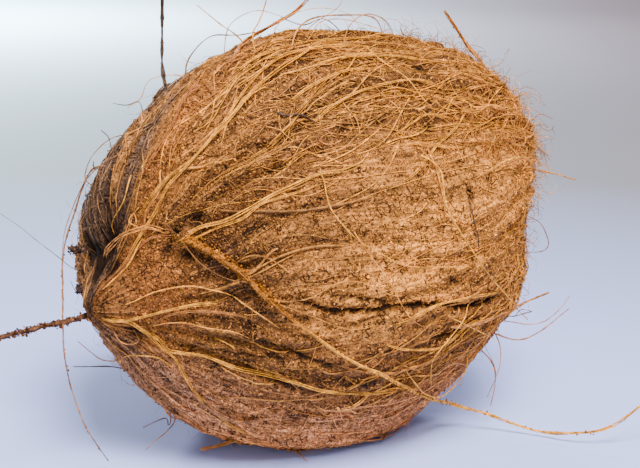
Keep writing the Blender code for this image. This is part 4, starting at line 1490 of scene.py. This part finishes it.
class CoconutColours(bpy.types.PropertyGroup):
    """Colours of the coir, its pith and its shadows."""

    tan: FloatVectorProperty(
        name="Tan", description="Coir of the broad face", subtype="COLOR", size=3,
        default=(0.31, 0.113, 0.024), min=0.0, max=1.0)
    light_tan: FloatVectorProperty(
        name="Light tan", description="Lighter coir", subtype="COLOR", size=3,
        default=(0.43, 0.160, 0.034), min=0.0, max=1.0)
    pale: FloatVectorProperty(
        name="Pale", description="Middle of the broad face", subtype="COLOR", size=3,
        default=(0.66, 0.243, 0.038), min=0.0, max=1.0)
    pith: FloatVectorProperty(
        name="Pith", description="Orange pith of the ridges and the beak", subtype="COLOR", size=3,
        default=(0.38, 0.122, 0.027), min=0.0, max=1.0)
    # Reddish brown of the lower husk, painted brighter as light on its shaded underside
    reddish: FloatVectorProperty(
        name="Reddish", description="Lower husk", subtype="COLOR", size=3,
        default=(0.82, 0.315, 0.105), min=0.0, max=1.0)
    weathered: FloatVectorProperty(
        name="Weathered", description="Grey-brown face behind the upper ridge", subtype="COLOR",
        size=3, default=(0.122, 0.064, 0.040), min=0.0, max=1.0)
    # Dark brown pith, also used as the painted shade under thick strands
    damp: FloatVectorProperty(
        name="Damp", description="Dark brown pith near the knob", subtype="COLOR", size=3,
        default=(0.088, 0.033, 0.013), min=0.0, max=1.0)
    gold: FloatVectorProperty(
        name="Gold", description="Clean golden fibres", subtype="COLOR", size=3,
        default=(0.74, 0.30, 0.026), min=0.0, max=1.0)
    fleck: FloatVectorProperty(
        name="Fleck", description="Light grains in the pith", subtype="COLOR", size=3,
        default=(0.74, 0.34, 0.07), min=0.0, max=1.0)
    # Painted shade: near-black for the hollows, pits and cracks between fibres
    crevice_shade: FloatVectorProperty(
        name="Crevice", description="Dark hollows between fibres", subtype="COLOR", size=3,
        default=(0.016, 0.006, 0.0024), min=0.0, max=1.0)


class CoconutFibres(bpy.types.PropertyGroup):
    """How many fibres and crumbs there are, and how thick the strands are."""

    ribs: IntProperty(
        name="Ribs", description="Thick ribs half sunk in the husk", default=430, min=1)
    long_strands: IntProperty(
        name="Long strands", description="Long strands on the husk", default=820, min=1)
    short_strands: IntProperty(
        name="Short strands", description="Short strands on the husk", default=2300, min=1)
    frizz: IntProperty(name="Frizz", description="Loose hairs all over", default=1300, min=1)
    mat_hairs: IntProperty(
        name="Mat hairs", description="Hairs of the frayed end", default=1700, min=1)
    lumps: IntProperty(name="Lumps", description="Lumps of pith", default=8400, min=1)
    grains: IntProperty(name="Grains", description="Fine grains of pith", default=37500, min=1)
    strand_half: FloatProperty(
        name="Strand half thickness", description="Of the thickest strand, in mm", default=0.25,
        min=0.05, max=1.0)


class CoconutStage(bpy.types.PropertyGroup):
    """Floor, sky and lights."""

    floor: FloatVectorProperty(
        name="Floor", description="Pale floor", subtype="COLOR", size=3, default=(0.42, 0.50, 0.95),
        min=0.0, max=1.0)
    # Painted shade of the floor further off, at the left and at the right
    far_left_shade: FloatVectorProperty(
        name="Far left", description="Floor further off, left", subtype="COLOR", size=3,
        default=(0.265, 0.44, 0.51), min=0.0, max=1.0)
    far_right_shade: FloatVectorProperty(
        name="Far right", description="Floor further off, right", subtype="COLOR", size=3,
        default=(0.270, 0.208, 0.235), min=0.0, max=1.0)
    sky: FloatVectorProperty(
        name="Sky", description="Colour of the even light", subtype="COLOR", size=3,
        default=(0.88, 0.93, 1.0), min=0.0, max=1.0)
    sky_strength: FloatProperty(
        name="Sky strength", description="Strength of the even light", default=0.55, min=0.0)
    key_power: FloatProperty(
        name="Key power", description="Main light, in watts", default=21.0, min=0.0, unit="POWER")
    fill_power: FloatProperty(
        name="Fill power", description="Low front light, in watts", default=5.0, min=0.0,
        unit="POWER")
    backdrop_power: FloatProperty(
        name="Backdrop power", description="Light on the far floor, in watts", default=60.0,
        min=0.0, unit="POWER")


class COCONUT_OT_husk(bpy.types.Operator):
    """Builds the husk's surface in place of the solid"""

    bl_idname = "coconut.husk"
    bl_label = "Husk surface"

    def execute(self, context):
        build_husk(looked_up(context.scene.coconut_colours))
        return {"FINISHED"}


class COCONUT_OT_strands(bpy.types.Operator):
    """Lays coir strands over the husk"""

    bl_idname = "coconut.strands"
    bl_label = "Lying strands"

    def execute(self, context):
        look = looked_up(context.scene.coconut_colours)
        fibres = context.scene.coconut_fibres
        thick = fibres.strand_half
        build_strands(look, "ribs", fibres.ribs, seed=100, density=rib_density,
                      thickness=(0.22, 0.46), lengths=(0.016, 0.050), lifts=(-0.26, -0.04),
                      spread=0.08, goldness=0.40, stations=24, flat=0.6)
        build_strands(look, "long_strands", fibres.long_strands, seed=101, density=strand_density,
                      thickness=(0.36 * thick, thick), lengths=(0.018, 0.065), lifts=(-0.05, 0.30),
                      spread=0.14, goldness=1.0, stations=19)
        build_strands(look, "short_strands", fibres.short_strands, seed=102, density=strand_density,
                      thickness=(0.25 * thick, 0.6 * thick), lengths=(0.004, 0.016), lifts=(-0.05, 0.22),
                      spread=0.60, goldness=0.5, stations=7)
        return {"FINISHED"}


class COCONUT_OT_loose_hairs(bpy.types.Operator):
    """Grows the loose hairs and the frayed mat of the blunt end"""

    bl_idname = "coconut.loose_hairs"
    bl_label = "Loose hairs"

    def execute(self, context):
        look = looked_up(context.scene.coconut_colours)
        fibres = context.scene.coconut_fibres
        build_free_hairs(look, "frizz", fibres.frizz, seed=103, density=frizz_density,
                         thickness=(0.05, 0.10), length=(2.0, 8.0), steep=(0.05, 0.7), curl=0.28,
                         goldness=0.6)
        build_free_hairs(look, "frayed_mat", fibres.mat_hairs, seed=104, density=mat_density,
                         thickness=(0.06, 0.16), length=(3.0, 9.0), steep=(0.08, 0.75), curl=0.35,
                         goldness=0.35)
        return {"FINISHED"}


class COCONUT_OT_crumbs(bpy.types.Operator):
    """Scatters lumps and grains of pith"""

    bl_idname = "coconut.crumbs"
    bl_label = "Pith crumbs"

    def execute(self, context):
        look = looked_up(context.scene.coconut_colours)
        fibres = context.scene.coconut_fibres
        build_crumbs(look, "pith_lumps", fibres.lumps, seed=105, kind=LUMP, size=(0.18, 0.44),
                     lifts=(-0.20, 0.08))
        build_crumbs(look, "pith_grains", fibres.grains, seed=109, kind=GRAIN, size=(0.10, 0.28),
                     lifts=(-0.08, 0.12))
        return {"FINISHED"}


class COCONUT_OT_stray_fibres(bpy.types.Operator):
    """Adds the long stray fibres, the coarse ones and the listed strands laid on the husk"""

    bl_idname = "coconut.stray_fibres"
    bl_label = "Stray fibres"

    def execute(self, context):
        look = looked_up(context.scene.coconut_colours)
        build_stray_fibres(look, seed=106)
        build_coarse_fibres(look, seed=107)
        build_laid_strands(look, seed=108)
        build_clinging_crumbs(look, seed=110)
        return {"FINISHED"}


class COCONUT_OT_stage(bpy.types.Operator):
    """Adds the floor, the sky, the lights and the camera"""

    bl_idname = "coconut.stage"
    bl_label = "Stage"

    def execute(self, context):
        stage = context.scene.coconut_stage
        set_world(stage.sky, stage.sky_strength)
        far = ((*stage.far_left_shade, 1.0), (*stage.far_right_shade, 1.0))
        build_floor((*stage.floor, 1.0), far, level_directions()[1])
        for name, place, aim, size, power, colour in LIGHTS:
            add_light(name, from_coconut(place), from_coconut(aim), size, getattr(stage, power), colour)
        add_camera()
        return {"FINISHED"}


class COCONUT_PT_panel(bpy.types.Panel):
    """Lists the coconut's settings and steps in the sidebar"""

    bl_label = "Coconut"
    bl_space_type = "VIEW_3D"
    bl_region_type = "UI"
    bl_category = "Coconut"

    def draw(self, context):
        layout = self.layout
        scene = context.scene
        for group in (scene.coconut_colours, scene.coconut_fibres, scene.coconut_stage):
            for name in group.bl_rna.properties.keys():
                if name not in ("rna_type", "name"):
                    layout.prop(group, name)
        for operator in OPERATORS:
            layout.operator(operator.bl_idname)


GROUPS = (CoconutColours, CoconutFibres, CoconutStage)
OPERATORS = (COCONUT_OT_husk, COCONUT_OT_strands, COCONUT_OT_loose_hairs, COCONUT_OT_crumbs,
             COCONUT_OT_stray_fibres, COCONUT_OT_stage)
CLASSES = (*GROUPS, *OPERATORS, COCONUT_PT_panel)


def register():
    """Adds the classes and puts their settings on the scene."""
    for each in CLASSES:
        bpy.utils.register_class(each)
    bpy.types.Scene.coconut_colours = PointerProperty(type=CoconutColours)
    bpy.types.Scene.coconut_fibres = PointerProperty(type=CoconutFibres)
    bpy.types.Scene.coconut_stage = PointerProperty(type=CoconutStage)


def unregister():
    """Takes the settings and the classes away."""
    del bpy.types.Scene.coconut_stage
    del bpy.types.Scene.coconut_fibres
    del bpy.types.Scene.coconut_colours
    for each in reversed(CLASSES):
        bpy.utils.unregister_class(each)


def main():
    """Builds every piece in order."""
    register()
    bpy.ops.coconut.husk()
    bpy.ops.coconut.strands()
    bpy.ops.coconut.loose_hairs()
    bpy.ops.coconut.crumbs()
    bpy.ops.coconut.stray_fibres()
    bpy.ops.coconut.stage()
    bpy.context.view_layer.update()


if __name__ == "__main__":
    main()
